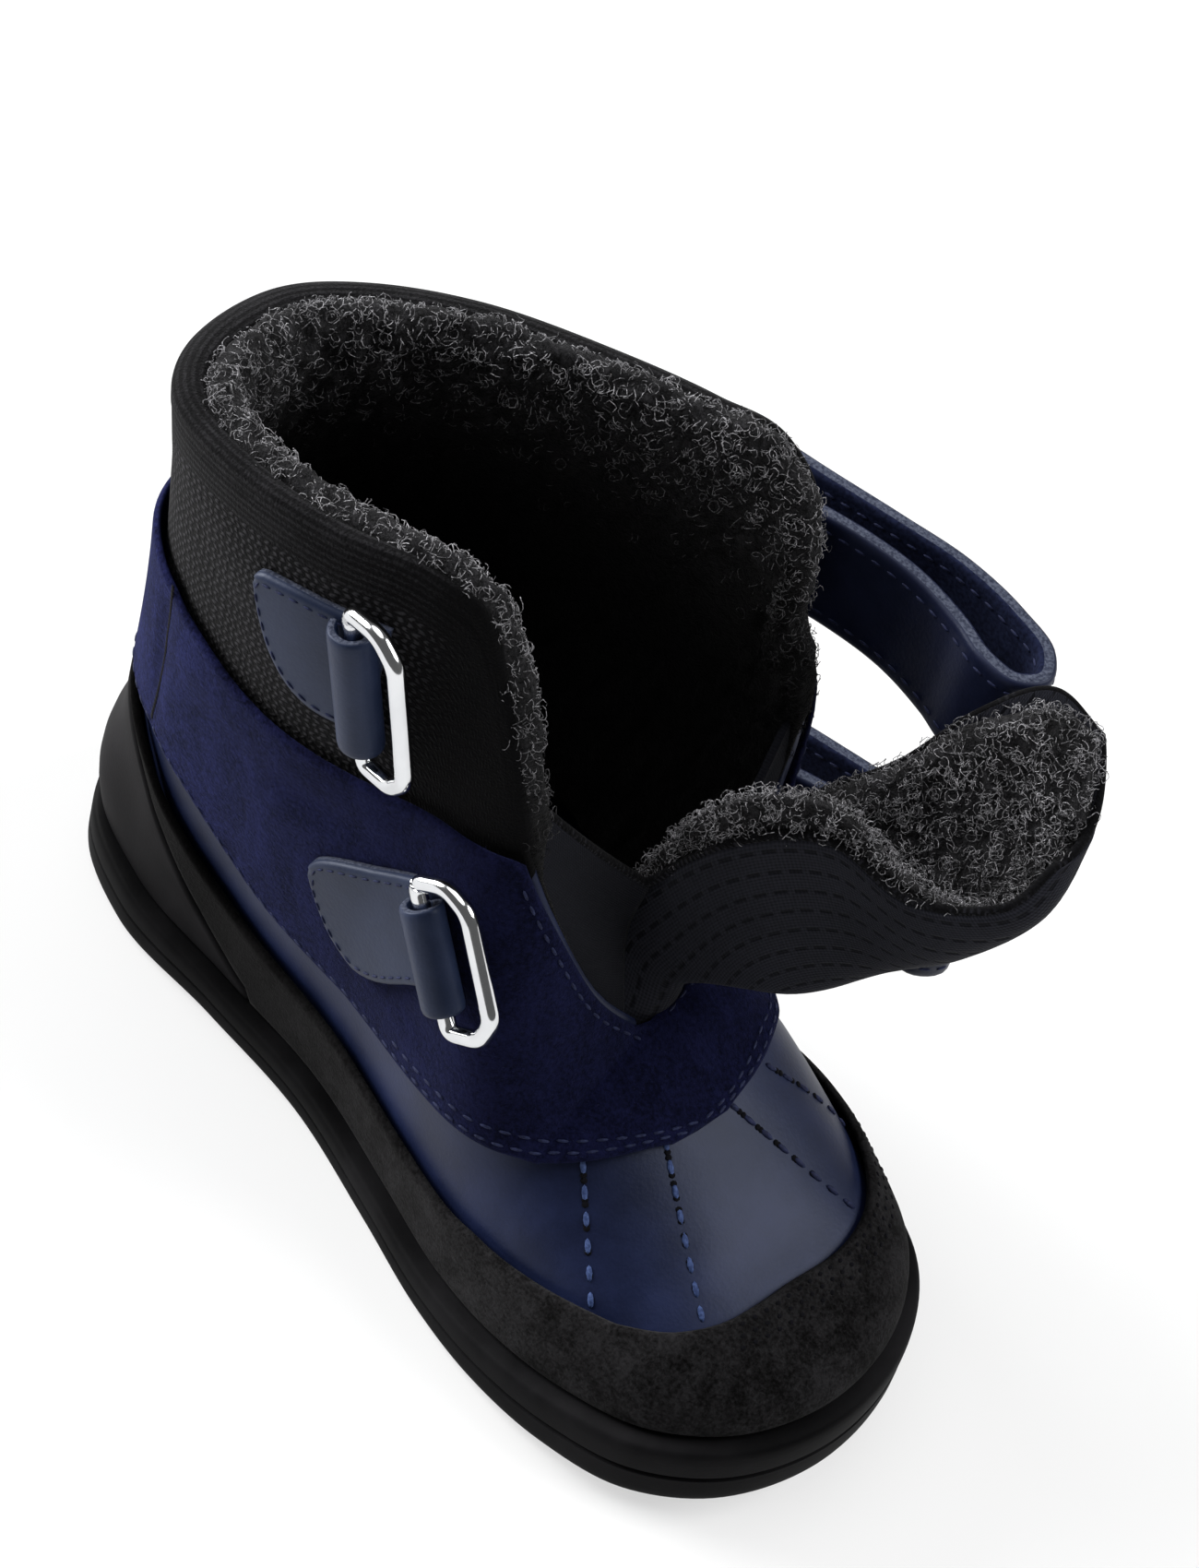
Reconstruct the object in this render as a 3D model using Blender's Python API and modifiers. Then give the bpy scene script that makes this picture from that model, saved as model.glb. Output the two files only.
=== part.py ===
"""A child's lined winter barefoot boot, left foot, standing open and empty on its sole.

Metres, +Z up. +X points to the toe, +Y to the outer side of the foot, and the floor is Z = 0, with
the origin under the middle of the sole. The sizes and tables below are in millimetres, and MM turns
them into metres where a mesh is made.
"""
import math

import bmesh
import bpy
import numpy as np
from mathutils import Matrix, Vector

MM = 0.001
OBJECT_NAME = "barefoot_boot"
CUTTER_NAME = "barefoot_boot_cutters"
WELD = 0.02                # points closer than this are one point
GAP = 0.4                  # air between two curved pieces that lie on each other

# Sole outline, from the back of the heel to the tip of the toe. Columns: x, y
INNER_OUTLINE = (
    (-82.5, 0.0), (-79.4, -12.2), (-71.5, -22.6), (-56.0, -28.3), (-33.0, -27.6), (-11.5, -27.4),
    (10.0, -31.0), (26.5, -34.2), (40.0, -35.2), (54.5, -34.0), (67.5, -30.0), (76.5, -22.0),
    (82.5, -5.0))
OUTER_OUTLINE = (
    (-82.5, 0.0), (-79.3, 11.0), (-72.5, 20.5), (-57.5, 27.0), (-38.0, 28.5), (-16.5, 30.5),
    (3.0, 33.5), (23.0, 36.5), (41.0, 36.6), (56.0, 33.2), (69.5, 26.3), (78.5, 14.8),
    (82.5, -5.0))

# Sole
SPRING_START, SPRING_END, SPRING_RISE = 30.0, 82.5, 5.2      # toe spring
HEEL_START, HEEL_END, HEEL_RISE = 68.0, 82.5, 1.2            # small bevel under the heel
RIM_HEIGHT = 7.0                                             # rim over the local ground line
RIM_TOE_EXTRA, RIM_TOE_FROM, RIM_TOE_TO = 6.5, 15.0, 78.0
RIM_HEEL_EXTRA, RIM_HEEL_FROM, RIM_HEEL_TO = 3.4, 25.0, 72.0
CUP_FLOOR = 4.6                                              # floor of the cup over the ground line
# Outer wall of the sole, from the ground up. Columns: inset, share of the rim's height
SOLE_WALL = (
    (4.5, 0.0), (1.3, 0.02), (0.2, 0.11), (0.0, 0.24), (0.4, 0.49), (1.4, 0.515), (1.5, 0.565),
    (0.7, 0.59), (1.2, 0.86), (2.2, 1.0))
TREAD_PITCH, TREAD_WIDTH, TREAD_DEPTH, TREAD_EDGE = 12.0, 3.0, 1.4, 9.0
TREAD_FROM, TREAD_TO = -66.0, 66.0

# Upper
FEATHER_INSET = 5.0        # from the sole's outline to the outside of the upper
WALL = 3.2
SEAT = 0.3                 # the upper and the insole stand this far above the cup's floor
# Top edge of the upper, along each side of the sole.
# Columns: share of the way from heel to toe, x, y, z, steepness of the wall there (1 upright, 0 flat),
# lean of the wall under the edge (inward lean over height, so the collar flares)
INNER_TOP = (
    (0.000, -68.0, -4.0, 113.5, 1.00, 0.13), (0.100, -64.6, -21.2, 114.5, 1.00, 0.13),
    (0.190, -55.0, -30.6, 115.5, 1.00, 0.10), (0.280, -39.0, -32.0, 116.5, 1.00, 0.02),
    (0.360, -23.5, -28.5, 117.2, 1.00, -0.08), (0.420, -11.0, -22.5, 117.2, 1.00, -0.14),
    (0.450, -4.5, -19.5, 114.5, 1.00, -0.15), (0.475, -0.5, -18.5, 107.0, 0.97, -0.14),
    (0.510, 5.0, -18.8, 96.8, 0.92, -0.10), (0.545, 10.8, -18.3, 85.2, 0.80, -0.04),
    (0.590, 17.6, -14.6, 70.8, 0.55, 0.00), (0.630, 22.6, -8.0, 56.0, 0.25, 0.00),
    (0.665, 26.0, 0.0, 46.5, 0.00, 0.00))
OUTER_TOP = (
    (0.000, -68.0, -4.0, 113.5, 1.00, 0.13), (0.090, -62.3, 8.8, 113.3, 1.00, 0.13),
    (0.180, -50.5, 20.4, 113.6, 1.00, 0.13), (0.270, -34.5, 29.8, 113.8, 1.00, 0.13),
    (0.350, -19.0, 36.6, 114.0, 1.00, 0.13), (0.405, -8.5, 40.0, 113.6, 1.00, 0.10),
    (0.430, -3.5, 40.8, 110.2, 1.00, 0.08), (0.455, 0.0, 41.0, 103.0, 0.97, 0.05),
    (0.485, 2.6, 40.2, 91.0, 0.92, 0.02), (0.520, 9.5, 39.0, 79.5, 0.80, 0.00),
    (0.560, 15.5, 30.5, 62.5, 0.55, 0.00), (0.605, 21.0, 15.0, 49.6, 0.25, 0.00),
    (0.640, 26.0, 0.0, 46.5, 0.00, 0.00))
# Ridge of the vamp from the throat to the middle of the toe box. Columns: share, x, y, z
RIDGE = ((0.0, 26.0, 0.0, 46.5), (0.5, 39.5, -1.0, 38.8), (1.0, 52.0, -2.0, 32.8))
RIDGE_SHARE = 0.115        # share of the sole's side that the ridge takes after the throat
RIDGE_SLOPE = -0.53
FOOT_LEAN = 0.02           # outward lean of the wall where it leaves the sole
RISE_LOW, RISE_BASE, RISE_HIGH = 0.55, 14.0, 0.22
REACH_STEEP, REACH_INNER, REACH_OUTER = 0.36, 0.64, 0.82
REACH_BLEND = (0.80, 1.0)  # both sides reach alike where they meet at the toe

# Overlays. Heights along the wall above the sole's rim. Columns: share along the sole, height
COUNTER_TOP = ((0.0, 39.0), (0.07, 39.0), (0.11, 38.0), (0.15, 33.8), (0.195, 27.3), (0.24, 19.0),
               (0.285, 10.5), (0.335, 3.5), (0.36, 1.5))
RAND_TOP = ((0.0, 41.0), (0.13, 38.2), (0.15, 36.0), (0.175, 33.0), (0.20, 29.6), (0.25, 24.2),
            (0.30, 19.8), (0.40, 15.0), (0.50, 13.2), (0.60, 13.2), (0.70, 13.5), (0.78, 13.8),
            (0.86, 15.3), (0.93, 17.7), (1.0, 17.5))
RAND_START = 0.13
# Heights over the floor. Columns: x, z
SUEDE_LOW = ((-80.0, 51.0), (-72.0, 51.0), (-62.0, 49.0), (-47.0, 44.5), (-35.0, 37.3), (-24.0, 33.0),
             (-10.0, 31.3), (4.0, 32.2), (18.0, 34.5), (28.0, 35.5), (36.0, 37.2), (41.0, 38.6))
KNIT_LINE = ((-80.0, 84.5), (-68.0, 86.5), (-61.0, 88.5), (-48.0, 84.0), (-34.0, 79.5), (-20.0, 78.5),
             (-6.0, 80.0), (10.0, 82.5))
RAND_THICK, SUEDE_THICK = 1.8, 1.4
SUEDE_GAP = 0.7            # the suede bridges the hollow beside the throat
OVER_SUEDE = SUEDE_GAP + SUEDE_THICK + GAP
# The heel counter is thickest low down at the back. Columns: share of its height, thickness at the back
COUNTER_THICK = ((0.0, 3.4), (0.15, 4.6), (0.3, 4.3), (0.45, 3.0), (0.6, 2.0), (1.0, 1.6))
COUNTER_FADE = (0.07, 0.24)    # between these shares along the sole it thins to the rand's thickness
BACKSTAY_HALF, BACKSTAY_SEAM = 0.032, 0.004
SUEDE_TIP = 0.50           # share of the ridge where the suede ends in its rounded tip
EDGE_MARGIN = 1.0          # the suede stops this far below the throat's edge

# Insole
INSOLE_CLEAR = 0.6
# Columns: inset past the clearance, height over the cup's floor
INSOLE_EDGE = ((0.8, 0.0), (0.0, 0.7), (0.0, 2.3), (0.9, 3.0))

# Tongue, one row for each section from its root to its tip. Columns: near x y z, belly x y z, far x y z
TONGUE = (
    (10.0, -9.0, 47.0, 17.0, 1.0, 41.0, 10.0, 13.0, 47.0),
    (14.5, 3.0, 61.0, 26.0, 7.0, 54.4, 13.5, 19.0, 61.0),
    (25.0, 6.5, 83.0, 38.5, 15.0, 60.0, 22.5, 28.0, 76.0),
    (36.0, 13.5, 91.0, 46.0, 21.0, 69.0, 31.0, 33.0, 89.0),
    (48.0, 18.5, 87.5, 53.0, 27.5, 78.5, 35.0, 41.0, 98.5),
    (56.5, 27.5, 88.5, 57.0, 36.0, 89.0, 40.0, 48.5, 103.5),
    (57.0, 36.0, 93.0, 55.0, 43.5, 96.5, 48.5, 50.5, 101.5))
TONGUE_THICK, TONGUE_STEPS = 4.0, 14

# Gussets, one row for each section from the throat's foot upwards.
# Columns: share along the throat's edge, share along the tongue, fold forward
GUSSETS = {
    "medial": ((0.42, 0.11, 2.5), (0.58, 0.145, 3.5), (0.74, 0.18, 4.0), (0.88, 0.21, 4.0)),
    "lateral": ((0.60, 0.13, 0.0), (0.66, 0.15, 0.0), (0.72, 0.175, 0.0), (0.78, 0.20, 0.0)),
}
GUSSET_THICK, GUSSET_CLEAR = 1.2, 0.4
GUSSET_UNDER = 4.0         # overlap with the wall, inside

# Rings and the tabs that hold them.
# Columns: name, x and z of the loop's middle, lean of its axis (x over z), rise of the leaf (z over x),
# seat over the wall, turn of the ring away from the wall in degrees, loop, leaf and ring length
TABS = (("upper", -15.4, 98.2, -0.27, 0.00, GAP, 26.0, 20.5, 19.0, 29.0),
        ("lower", 8.6, 63.8, -0.72, 0.50, OVER_SUEDE, 2.0, 17.0, 22.5, 26.0))
LOOP_WALL, BAR_PLAY = 1.5, 0.3
LEAF_THICK, LEAF_HEIGHT = 1.4, 19.5
LEAF_SHOULDER, LEAF_TIP, LEAF_DROP = 8.0, 3.0, 1.2
RING_WIRE, RING_WIDTH, RING_CHAMFER, RING_CORNER = 2.6, 12.0, 3.2, 1.6

# Straps. The free part's middle line in plan, from the wall to the folded end. Columns: x, y
STRAP_WIDTH, STRAP_THICK = 19.5, 2.6
STRAP_SEWN = (-36.0, -27.0, -18.0)
UPPER_STRAP = ((-4.2, 45.2), (4.0, 47.6), (13.4, 48.9), (23.0, 48.0), (30.0, 46.4), (35.0, 47.2),
               (36.8, 50.6), (34.2, 54.4), (26.5, 56.4), (15.7, 56.6), (4.2, 54.2), (-9.0, 51.0), (-17.0, 49.3))
LOWER_STRAP = ((-4.0, 42.0), (5.0, 45.5), (15.0, 48.2), (25.0, 48.8), (33.0, 47.2), (38.0, 47.8),
               (40.0, 51.2), (37.0, 54.8), (29.0, 56.6), (18.0, 56.6), (7.0, 55.0), (-5.0, 52.6))
# Columns: name, height of the strap's middle where it is sewn and at its fold, route
STRAPS = (("upper", 92.4, 92.4, UPPER_STRAP), ("lower", 42.5, 46.6, LOWER_STRAP))

# Sampling
COLLAR_STEPS, RIDGE_STEPS, TOE_STEPS, WALL_STEPS, COUNTER_STEPS = 19, 8, 6, 11, 15

# Colours, roughness and metal. Columns: name, red, green, blue, roughness, metallic
FINISHES = {
    "rubber_black": (0.012, 0.012, 0.013, 0.62, 0.0),
    "leather_navy": (0.028, 0.042, 0.125, 0.42, 0.0),
    "nubuck_black": (0.016, 0.015, 0.014, 0.85, 0.0),
    "suede_navy": (0.020, 0.020, 0.090, 0.95, 0.0),
    "textile_black": (0.010, 0.010, 0.012, 0.90, 0.0),
    "wool_charcoal": (0.035, 0.035, 0.037, 0.95, 0.0),
    "steel_chrome": (0.75, 0.76, 0.78, 0.16, 1.0),
}


def clear_scene():
    for item in list(bpy.data.objects):
        bpy.data.objects.remove(item, do_unlink=True)


def make_collection(name):
    collection = bpy.data.collections.new(name)
    bpy.context.scene.collection.children.link(collection)
    return collection


def make_material(name):
    red, green, blue, roughness, metallic = FINISHES[name]
    material = bpy.data.materials.get(name) or bpy.data.materials.new(name)
    material.use_nodes = True
    shader = material.node_tree.nodes["Principled BSDF"]
    shader.inputs["Base Color"].default_value = (red, green, blue, 1.0)
    shader.inputs["Roughness"].default_value = roughness
    shader.inputs["Metallic"].default_value = metallic
    return material


def curve_through(knots, values, at):
    """Smooth curve through table rows, read at the given parameters."""
    knots = np.asarray(knots, float)
    values = np.asarray(values, float)
    at = np.asarray(at, float)
    slopes = np.gradient(values, knots, axis=0)
    low = np.clip(np.searchsorted(knots, at, side="right") - 1, 0, len(knots) - 2)
    span = (knots[low + 1] - knots[low])[:, None]
    share = np.clip((at - knots[low])[:, None] / span, 0.0, 1.0)
    keep = 2 * share ** 3 - 3 * share ** 2 + 1
    leave = share ** 3 - 2 * share ** 2 + share
    arrive = share ** 3 - share ** 2
    return (keep * values[low] + (1 - keep) * values[low + 1]
            + span * (leave * slopes[low] + arrive * slopes[low + 1]))


def read_table(rows, at):
    """All columns after the first, on a smooth curve over the first column."""
    table = np.array(rows, float)
    return curve_through(table[:, 0], table[:, 1:], np.atleast_1d(at))


def chord_shares(points):
    steps = np.linalg.norm(np.diff(points, axis=0), axis=1)
    return np.concatenate(([0.0], np.cumsum(steps))) / steps.sum()


def unit(vectors):
    return vectors / np.maximum(np.linalg.norm(vectors, axis=-1, keepdims=True), 1e-9)


def ease(x, start, end):
    share = np.clip((np.asarray(x, float) - start) / (end - start), 0.0, 1.0)
    return share * share * (3 - 2 * share)


def outline_knots():
    """The sole's outline as one closed loop: 0 to 1 on the inner side, 1 to 2 back on the outer."""
    inner = np.array(INNER_OUTLINE)
    outer = np.array(OUTER_OUTLINE)
    there = chord_shares(inner)
    back = 2.0 - chord_shares(outer)[::-1]
    knots = np.concatenate((there, back[1:-1]))
    points = np.vstack((inner, outer[::-1][1:-1]))
    wrapped_knots = np.concatenate((knots - 2.0, knots, knots + 2.0))
    return wrapped_knots, np.vstack((points, points, points))


OUTLINE_KNOTS, OUTLINE_POINTS = outline_knots()


def sole_outline(along, inset=0.0):
    along = np.atleast_1d(np.asarray(along, float))
    nudge = 0.002
    point = curve_through(OUTLINE_KNOTS, OUTLINE_POINTS, along)
    ahead = curve_through(OUTLINE_KNOTS, OUTLINE_POINTS, along + nudge)
    behind = curve_through(OUTLINE_KNOTS, OUTLINE_POINTS, along - nudge)
    tangent = unit(ahead - behind)
    outward = np.stack((tangent[:, 1], -tangent[:, 0]), axis=1)
    return point - outward * inset, outward


def ground_line(x):
    """Underside of the sole: flat, with the toe spring and a small bevel under the heel."""
    x = np.asarray(x, float)
    toe = np.clip((x - SPRING_START) / (SPRING_END - SPRING_START), 0.0, 1.2)
    heel = np.clip((-x - HEEL_START) / (HEEL_END - HEEL_START), 0.0, 1.2)
    return SPRING_RISE * toe ** 2 + HEEL_RISE * heel ** 2


def rim_height(x):
    toe = RIM_TOE_EXTRA * ease(x, RIM_TOE_FROM, RIM_TOE_TO)
    heel = RIM_HEEL_EXTRA * ease(-np.asarray(x, float), RIM_HEEL_FROM, RIM_HEEL_TO)
    return RIM_HEIGHT + toe + heel


def rib_controls(along):
    """Four control points of each rib of the upper, from the sole's rim up to the top edge."""
    along = np.atleast_1d(np.asarray(along, float)) % 2.0
    inner = along <= 1.0
    share = np.where(inner, along, 2.0 - along)
    foot, outward = sole_outline(along, FEATHER_INSET)
    on_line, _ = sole_outline(along)
    foot = np.column_stack((foot, ground_line(on_line[:, 0]) + rim_height(on_line[:, 0])))
    top = np.zeros((len(along), 3))
    steep = np.zeros(len(along))
    flare = np.zeros(len(along))
    for side, rows in ((inner, INNER_TOP), (~inner, OUTER_TOP)):
        if not side.any():
            continue
        throat = rows[-1][0]
        edge = read_table(rows, np.minimum(share[side], throat))
        ridge = read_table(RIDGE, np.clip((share[side] - throat) / RIDGE_SHARE, 0.0, 1.0))
        past = share[side] > throat
        top[side] = np.where(past[:, None], ridge, edge[:, :3])
        steep[side] = np.where(past, 0.0, np.clip(edge[:, 3], 0.0, 1.0))
        flare[side] = np.where(past, 0.0, edge[:, 4])
    tall = top[:, 2] - foot[:, 2]
    across = foot[:, :2] - top[:, :2]
    width = np.linalg.norm(across, axis=1)
    flat = unit(across)
    flat = np.column_stack((flat, RIDGE_SLOPE * flat[:, 0]))
    upright = np.column_stack((-flare[:, None] * outward, -np.ones(len(along))))
    lean = unit(steep[:, None] * upright + (1 - steep)[:, None] * flat)
    reach_flat = np.where(inner, REACH_INNER, REACH_OUTER)
    reach_flat = reach_flat + (REACH_INNER - reach_flat) * ease(share, *REACH_BLEND)
    reach = steep * REACH_STEEP * tall + (1 - steep) * reach_flat * width
    rise = np.minimum(RISE_LOW * tall, RISE_BASE + RISE_HIGH * tall)
    upward = np.column_stack((outward * FOOT_LEAN, np.ones(len(along))))
    return foot, foot + upward * rise[:, None], top + lean * reach[:, None], top


def wall_point(along, share):
    """A point of the upper's outside: share 0 at the sole's rim, 1 at the top edge."""
    foot, low, high, top = rib_controls(along)
    t = np.atleast_1d(np.asarray(share, float))[:, None]
    return ((1 - t) ** 3 * foot + 3 * t * (1 - t) ** 2 * low + 3 * t ** 2 * (1 - t) * high + t ** 3 * top)


def wall_normal(along, share):
    nudge = 0.004
    along = np.atleast_1d(np.asarray(along, float))
    share = np.clip(np.atleast_1d(np.asarray(share, float)), 0.0, 0.97)
    around = wall_point(along + nudge, share) - wall_point(along - nudge, share)
    upward = wall_point(along, share + nudge) - wall_point(along, share - nudge)
    return unit(np.cross(around, upward))


def on_ridge(along, share):
    along = np.atleast_1d(np.asarray(along, float)) % 2.0
    inner = along <= 1.0
    position = np.where(inner, along, 2.0 - along)
    throat = np.where(inner, INNER_TOP[-1][0], OUTER_TOP[-1][0])
    return (position >= throat - 1e-6) & (np.atleast_1d(share) > 0.999)


def wall_offset(along, share, distance):
    """A point at a distance outside the upper's wall; on the ridge both sides share one normal."""
    normal = wall_normal(along, share)
    crest = unit(np.array((-RIDGE_SLOPE, 0.0, 1.0)))
    normal = np.where(on_ridge(along, share)[:, None], crest, normal)
    return wall_point(along, share) + normal * np.reshape(distance, (-1, 1))


def rib_samples(along):
    shares = np.linspace(0.0, 1.0, 80)
    return shares, wall_point(np.full(80, along), shares)


def share_at_girth(along, girth):
    """Where the wall is this far above the sole's rim, measured along the wall."""
    result = []
    for position, length in zip(np.atleast_1d(along), np.atleast_1d(girth)):
        shares, points = rib_samples(position)
        steps = np.linalg.norm(np.diff(points, axis=0), axis=1)
        result.append(np.interp(length, np.concatenate(([0.0], np.cumsum(steps))), shares))
    return np.array(result)


def share_at_height(along, rows):
    """Where each rib crosses a line that is given as height over the floor at each x."""
    result = []
    for position in np.atleast_1d(along):
        shares, points = rib_samples(position)
        above = points[:, 2] - read_table(rows, np.clip(points[:, 0], rows[0][0], rows[-1][0]))[:, 0]
        over = np.flatnonzero(above > 0)
        if len(over) == 0:
            result.append(1.0)
        elif over[0] == 0:
            result.append(0.0)
        else:
            last = over[0] - 1
            result.append(np.interp(0.0, above[last:last + 2], shares[last:last + 2]))
    return np.array(result)


def side_share(along):
    along = np.atleast_1d(np.asarray(along, float)) % 2.0
    return np.where(along <= 1.0, along, 2.0 - along)


def wall_map(first, last):
    """A close net of positions on one side of the upper, with their points."""
    positions, shares = np.meshgrid(np.linspace(first, last, 300), np.linspace(0.0, 1.0, 120), indexing="ij")
    positions, shares = positions.ravel(), shares.ravel()
    return positions, shares, wall_point(positions, shares)


WALL_MAPS = {"inner": wall_map(0.02, 0.80), "outer": wall_map(1.98, 1.20)}


def find_on_wall(x, z, side="inner"):
    """Position on one side of the upper where the wall passes a given x and height."""
    positions, shares, points = WALL_MAPS[side]
    best = int(np.argmin((points[:, 0] - x) ** 2 + (points[:, 2] - z) ** 2))
    along, share = positions[best], shares[best]
    nudge = 0.002
    for _ in range(3):
        here = wall_point(along, share)[0]
        by_along = (wall_point(along + nudge, share)[0] - here) / nudge
        by_share = (wall_point(along, share + nudge)[0] - here) / nudge
        slope = np.array(((by_along[0], by_share[0]), (by_along[2], by_share[2])))
        step = np.linalg.solve(slope, np.array((x - here[0], z - here[2])))
        along, share = along + step[0], share + step[1]
    return along, share


def rib_stations():
    """Ribs round the upper. The ribs that meet on the ridge come in pairs."""
    inner_throat, outer_throat = INNER_TOP[-1][0], OUTER_TOP[-1][0]

    def one_side(throat):
        collar = np.linspace(0.0, throat, COLLAR_STEPS + 1)
        ridge = np.linspace(throat, throat + RIDGE_SHARE, RIDGE_STEPS + 1)
        toe = np.linspace(throat + RIDGE_SHARE, 1.0, TOE_STEPS + 1)
        return np.concatenate((collar, ridge[1:], toe[1:]))

    inner = one_side(inner_throat)
    outer = one_side(outer_throat)
    return np.concatenate((inner, 2.0 - outer[::-1][1:]))


def object_from_points(name, grid, collection, finish, weld=True, weights=None):
    """A surface through a grid of points in millimetres, first index along, second index up."""
    columns, rows = grid.shape[:2]
    mesh = bmesh.new()
    group = mesh.verts.layers.deform.verify()
    bmesh.ops.create_grid(mesh, x_segments=columns - 1, y_segments=rows - 1, size=0.5)
    for vertex in mesh.verts:
        column = round((vertex.co.x + 0.5) * (columns - 1))
        row = round((vertex.co.y + 0.5) * (rows - 1))
        vertex.co = Vector(grid[column, row]) * MM
        if weights is not None:
            vertex[group][0] = weights[column, row]
    if weld:
        bmesh.ops.remove_doubles(mesh, verts=mesh.verts, dist=WELD * MM)
    return object_from_bmesh(name, mesh, collection, finish)


def object_from_bmesh(name, mesh, collection, finish):
    data = bpy.data.meshes.new(name)
    mesh.to_mesh(data)
    mesh.free()
    data.shade_smooth()
    item = bpy.data.objects.new(name, data)
    collection.objects.link(item)
    data.materials.append(make_material(finish))
    return item


def thicken(item, thickness, side):
    """Give a surface its thickness: side 1 outward, -1 inward, 0 both ways."""
    shell = item.modifiers.new("wall", "SOLIDIFY")
    shell.thickness = thickness * MM
    shell.offset = side
    shell.use_even_offset = True
    shell.use_quality_normals = True
    return item


def loft_rings(name, rings, collection, finish):
    """A closed body through stacked rings; each end is closed by rungs from side to side."""
    mesh = bmesh.new()
    count = len(rings[0])
    loops = [[mesh.verts.new(Vector(point) * MM) for point in ring] for ring in rings]
    for lower, upper in zip(loops, loops[1:]):
        for here in range(count):
            after = (here + 1) % count
            mesh.faces.new((lower[here], lower[after], upper[after], upper[here]))
    for loop, turned in ((loops[0], True), (loops[-1], False)):
        for rung in range(count // 2):
            corners = [loop[rung], loop[rung + 1], loop[(count - rung - 1) % count], loop[(count - rung) % count]]
            face = list(dict.fromkeys(corners))
            mesh.faces.new(face[::-1] if turned else face)
    return object_from_bmesh(name, mesh, collection, finish)


def ladder_stations():
    half = COLLAR_STEPS + RIDGE_STEPS + TOE_STEPS
    inner = np.linspace(0.0, 1.0, half + 1)
    return np.concatenate((inner, 1.0 + inner[1:-1]))


def make_outsole(collection, cutters):
    along = ladder_stations()
    on_line, _ = sole_outline(along)
    ground = ground_line(on_line[:, 0])
    rim = rim_height(on_line[:, 0])
    rings = []
    for inset, share in SOLE_WALL:
        ring, _ = sole_outline(along, inset)
        rings.append(np.column_stack((ring, ground + share * rim)))
    cup_wall, _ = sole_outline(along, FEATHER_INSET - GAP)
    rings.append(np.column_stack((cup_wall, ground + rim)))
    rings.append(np.column_stack((cup_wall, ground + CUP_FLOOR)))
    outsole = loft_rings("outsole", rings, collection, "rubber_black")
    bars = int((TREAD_TO - TREAD_FROM) / TREAD_PITCH) + 1
    for bar in range(bars):
        x = TREAD_FROM + bar * TREAD_PITCH
        inner, outer = outline_width(x)
        size = (TREAD_WIDTH, outer - inner - 2 * TREAD_EDGE, 2 * TREAD_DEPTH)
        centre = (x, (outer + inner) / 2, float(ground_line(x)))
        groove = make_box(f"tread_groove_{bar + 1:02d}", size, centre, cutters)
        cut = outsole.modifiers.new(groove.name, "BOOLEAN")
        cut.operation = "DIFFERENCE"
        cut.solver = "EXACT"
        cut.object = groove
    return outsole


def outline_width(x):
    points, _ = sole_outline(np.linspace(0.0, 1.0, 200))
    inner = np.interp(x, points[:, 0], points[:, 1])
    points, _ = sole_outline(np.linspace(2.0, 1.0, 200))
    outer = np.interp(x, points[:, 0], points[:, 1])
    return inner, outer


def make_box(name, size, centre, collection):
    mesh = bmesh.new()
    bmesh.ops.create_cube(mesh, size=1.0)
    bmesh.ops.scale(mesh, vec=Vector(size) * MM, verts=mesh.verts)
    data = bpy.data.meshes.new(name)
    mesh.to_mesh(data)
    mesh.free()
    box = bpy.data.objects.new(name, data)
    box.location = Vector(centre) * MM
    box.hide_render = True
    box.display_type = "WIRE"
    collection.objects.link(box)
    return box


def make_insole(collection):
    along = ladder_stations()[::2]
    on_line, _ = sole_outline(along)
    floor = ground_line(on_line[:, 0]) + CUP_FLOOR + SEAT
    rings = []
    for inset, height in INSOLE_EDGE:
        ring, _ = sole_outline(along, FEATHER_INSET + WALL + INSOLE_CLEAR + inset)
        rings.append(np.column_stack((ring, floor + height)))
    return loft_rings("insole", rings, collection, "wool_charcoal")


def make_upper(collection):
    along = rib_stations()
    shares = np.linspace(0.0, 1.0, WALL_STEPS + 1)
    grid = np.stack([wall_point(along, np.full(len(along), share)) for share in shares], axis=1)
    on_line, _ = sole_outline(along)
    skirt = grid[:, 0].copy()
    skirt[:, 2] = ground_line(on_line[:, 0]) + CUP_FLOOR + SEAT
    grid = np.concatenate((skirt[:, None], grid), axis=1)
    upper = object_from_points("upper", grid, collection, "leather_navy")
    return thicken(upper, WALL, -1)


def overlay(name, along, low, high, steps, thickness, collection, finish, weights=None, gap=GAP):
    """A panel that lies on the upper between two lines, given as shares of each rib."""
    rows = [wall_offset(along, low + (high - low) * step, gap) for step in np.linspace(0.0, 1.0, steps + 1)]
    panel = object_from_points(name, np.stack(rows, axis=1), collection, finish, weights=weights)
    thicken(panel, thickness, 1)
    if weights is not None:
        panel.modifiers["wall"].vertex_group = panel.vertex_groups.new(name="thickness").name
    return panel


def counter_line(along):
    return read_table(COUNTER_TOP, np.minimum(side_share(along), COUNTER_TOP[-1][0]))[:, 0]


def make_counter(collection):
    end = COUNTER_TOP[-1][0]
    along = np.linspace(-end, end, 2 * COUNTER_STEPS + 1)
    low = share_at_girth(along, np.full(len(along), GAP))
    high = share_at_girth(along, counter_line(along))
    steps = 5
    profile = read_table(COUNTER_THICK, np.linspace(0.0, 1.0, steps + 1))[:, 0]
    fade = ease(side_share(along), *COUNTER_FADE)[:, None]
    thickness = profile + (RAND_THICK - profile) * fade
    most = thickness.max()
    return overlay("heel_counter", along, low, high, steps, most, collection, "rubber_black", thickness / most)


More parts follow.
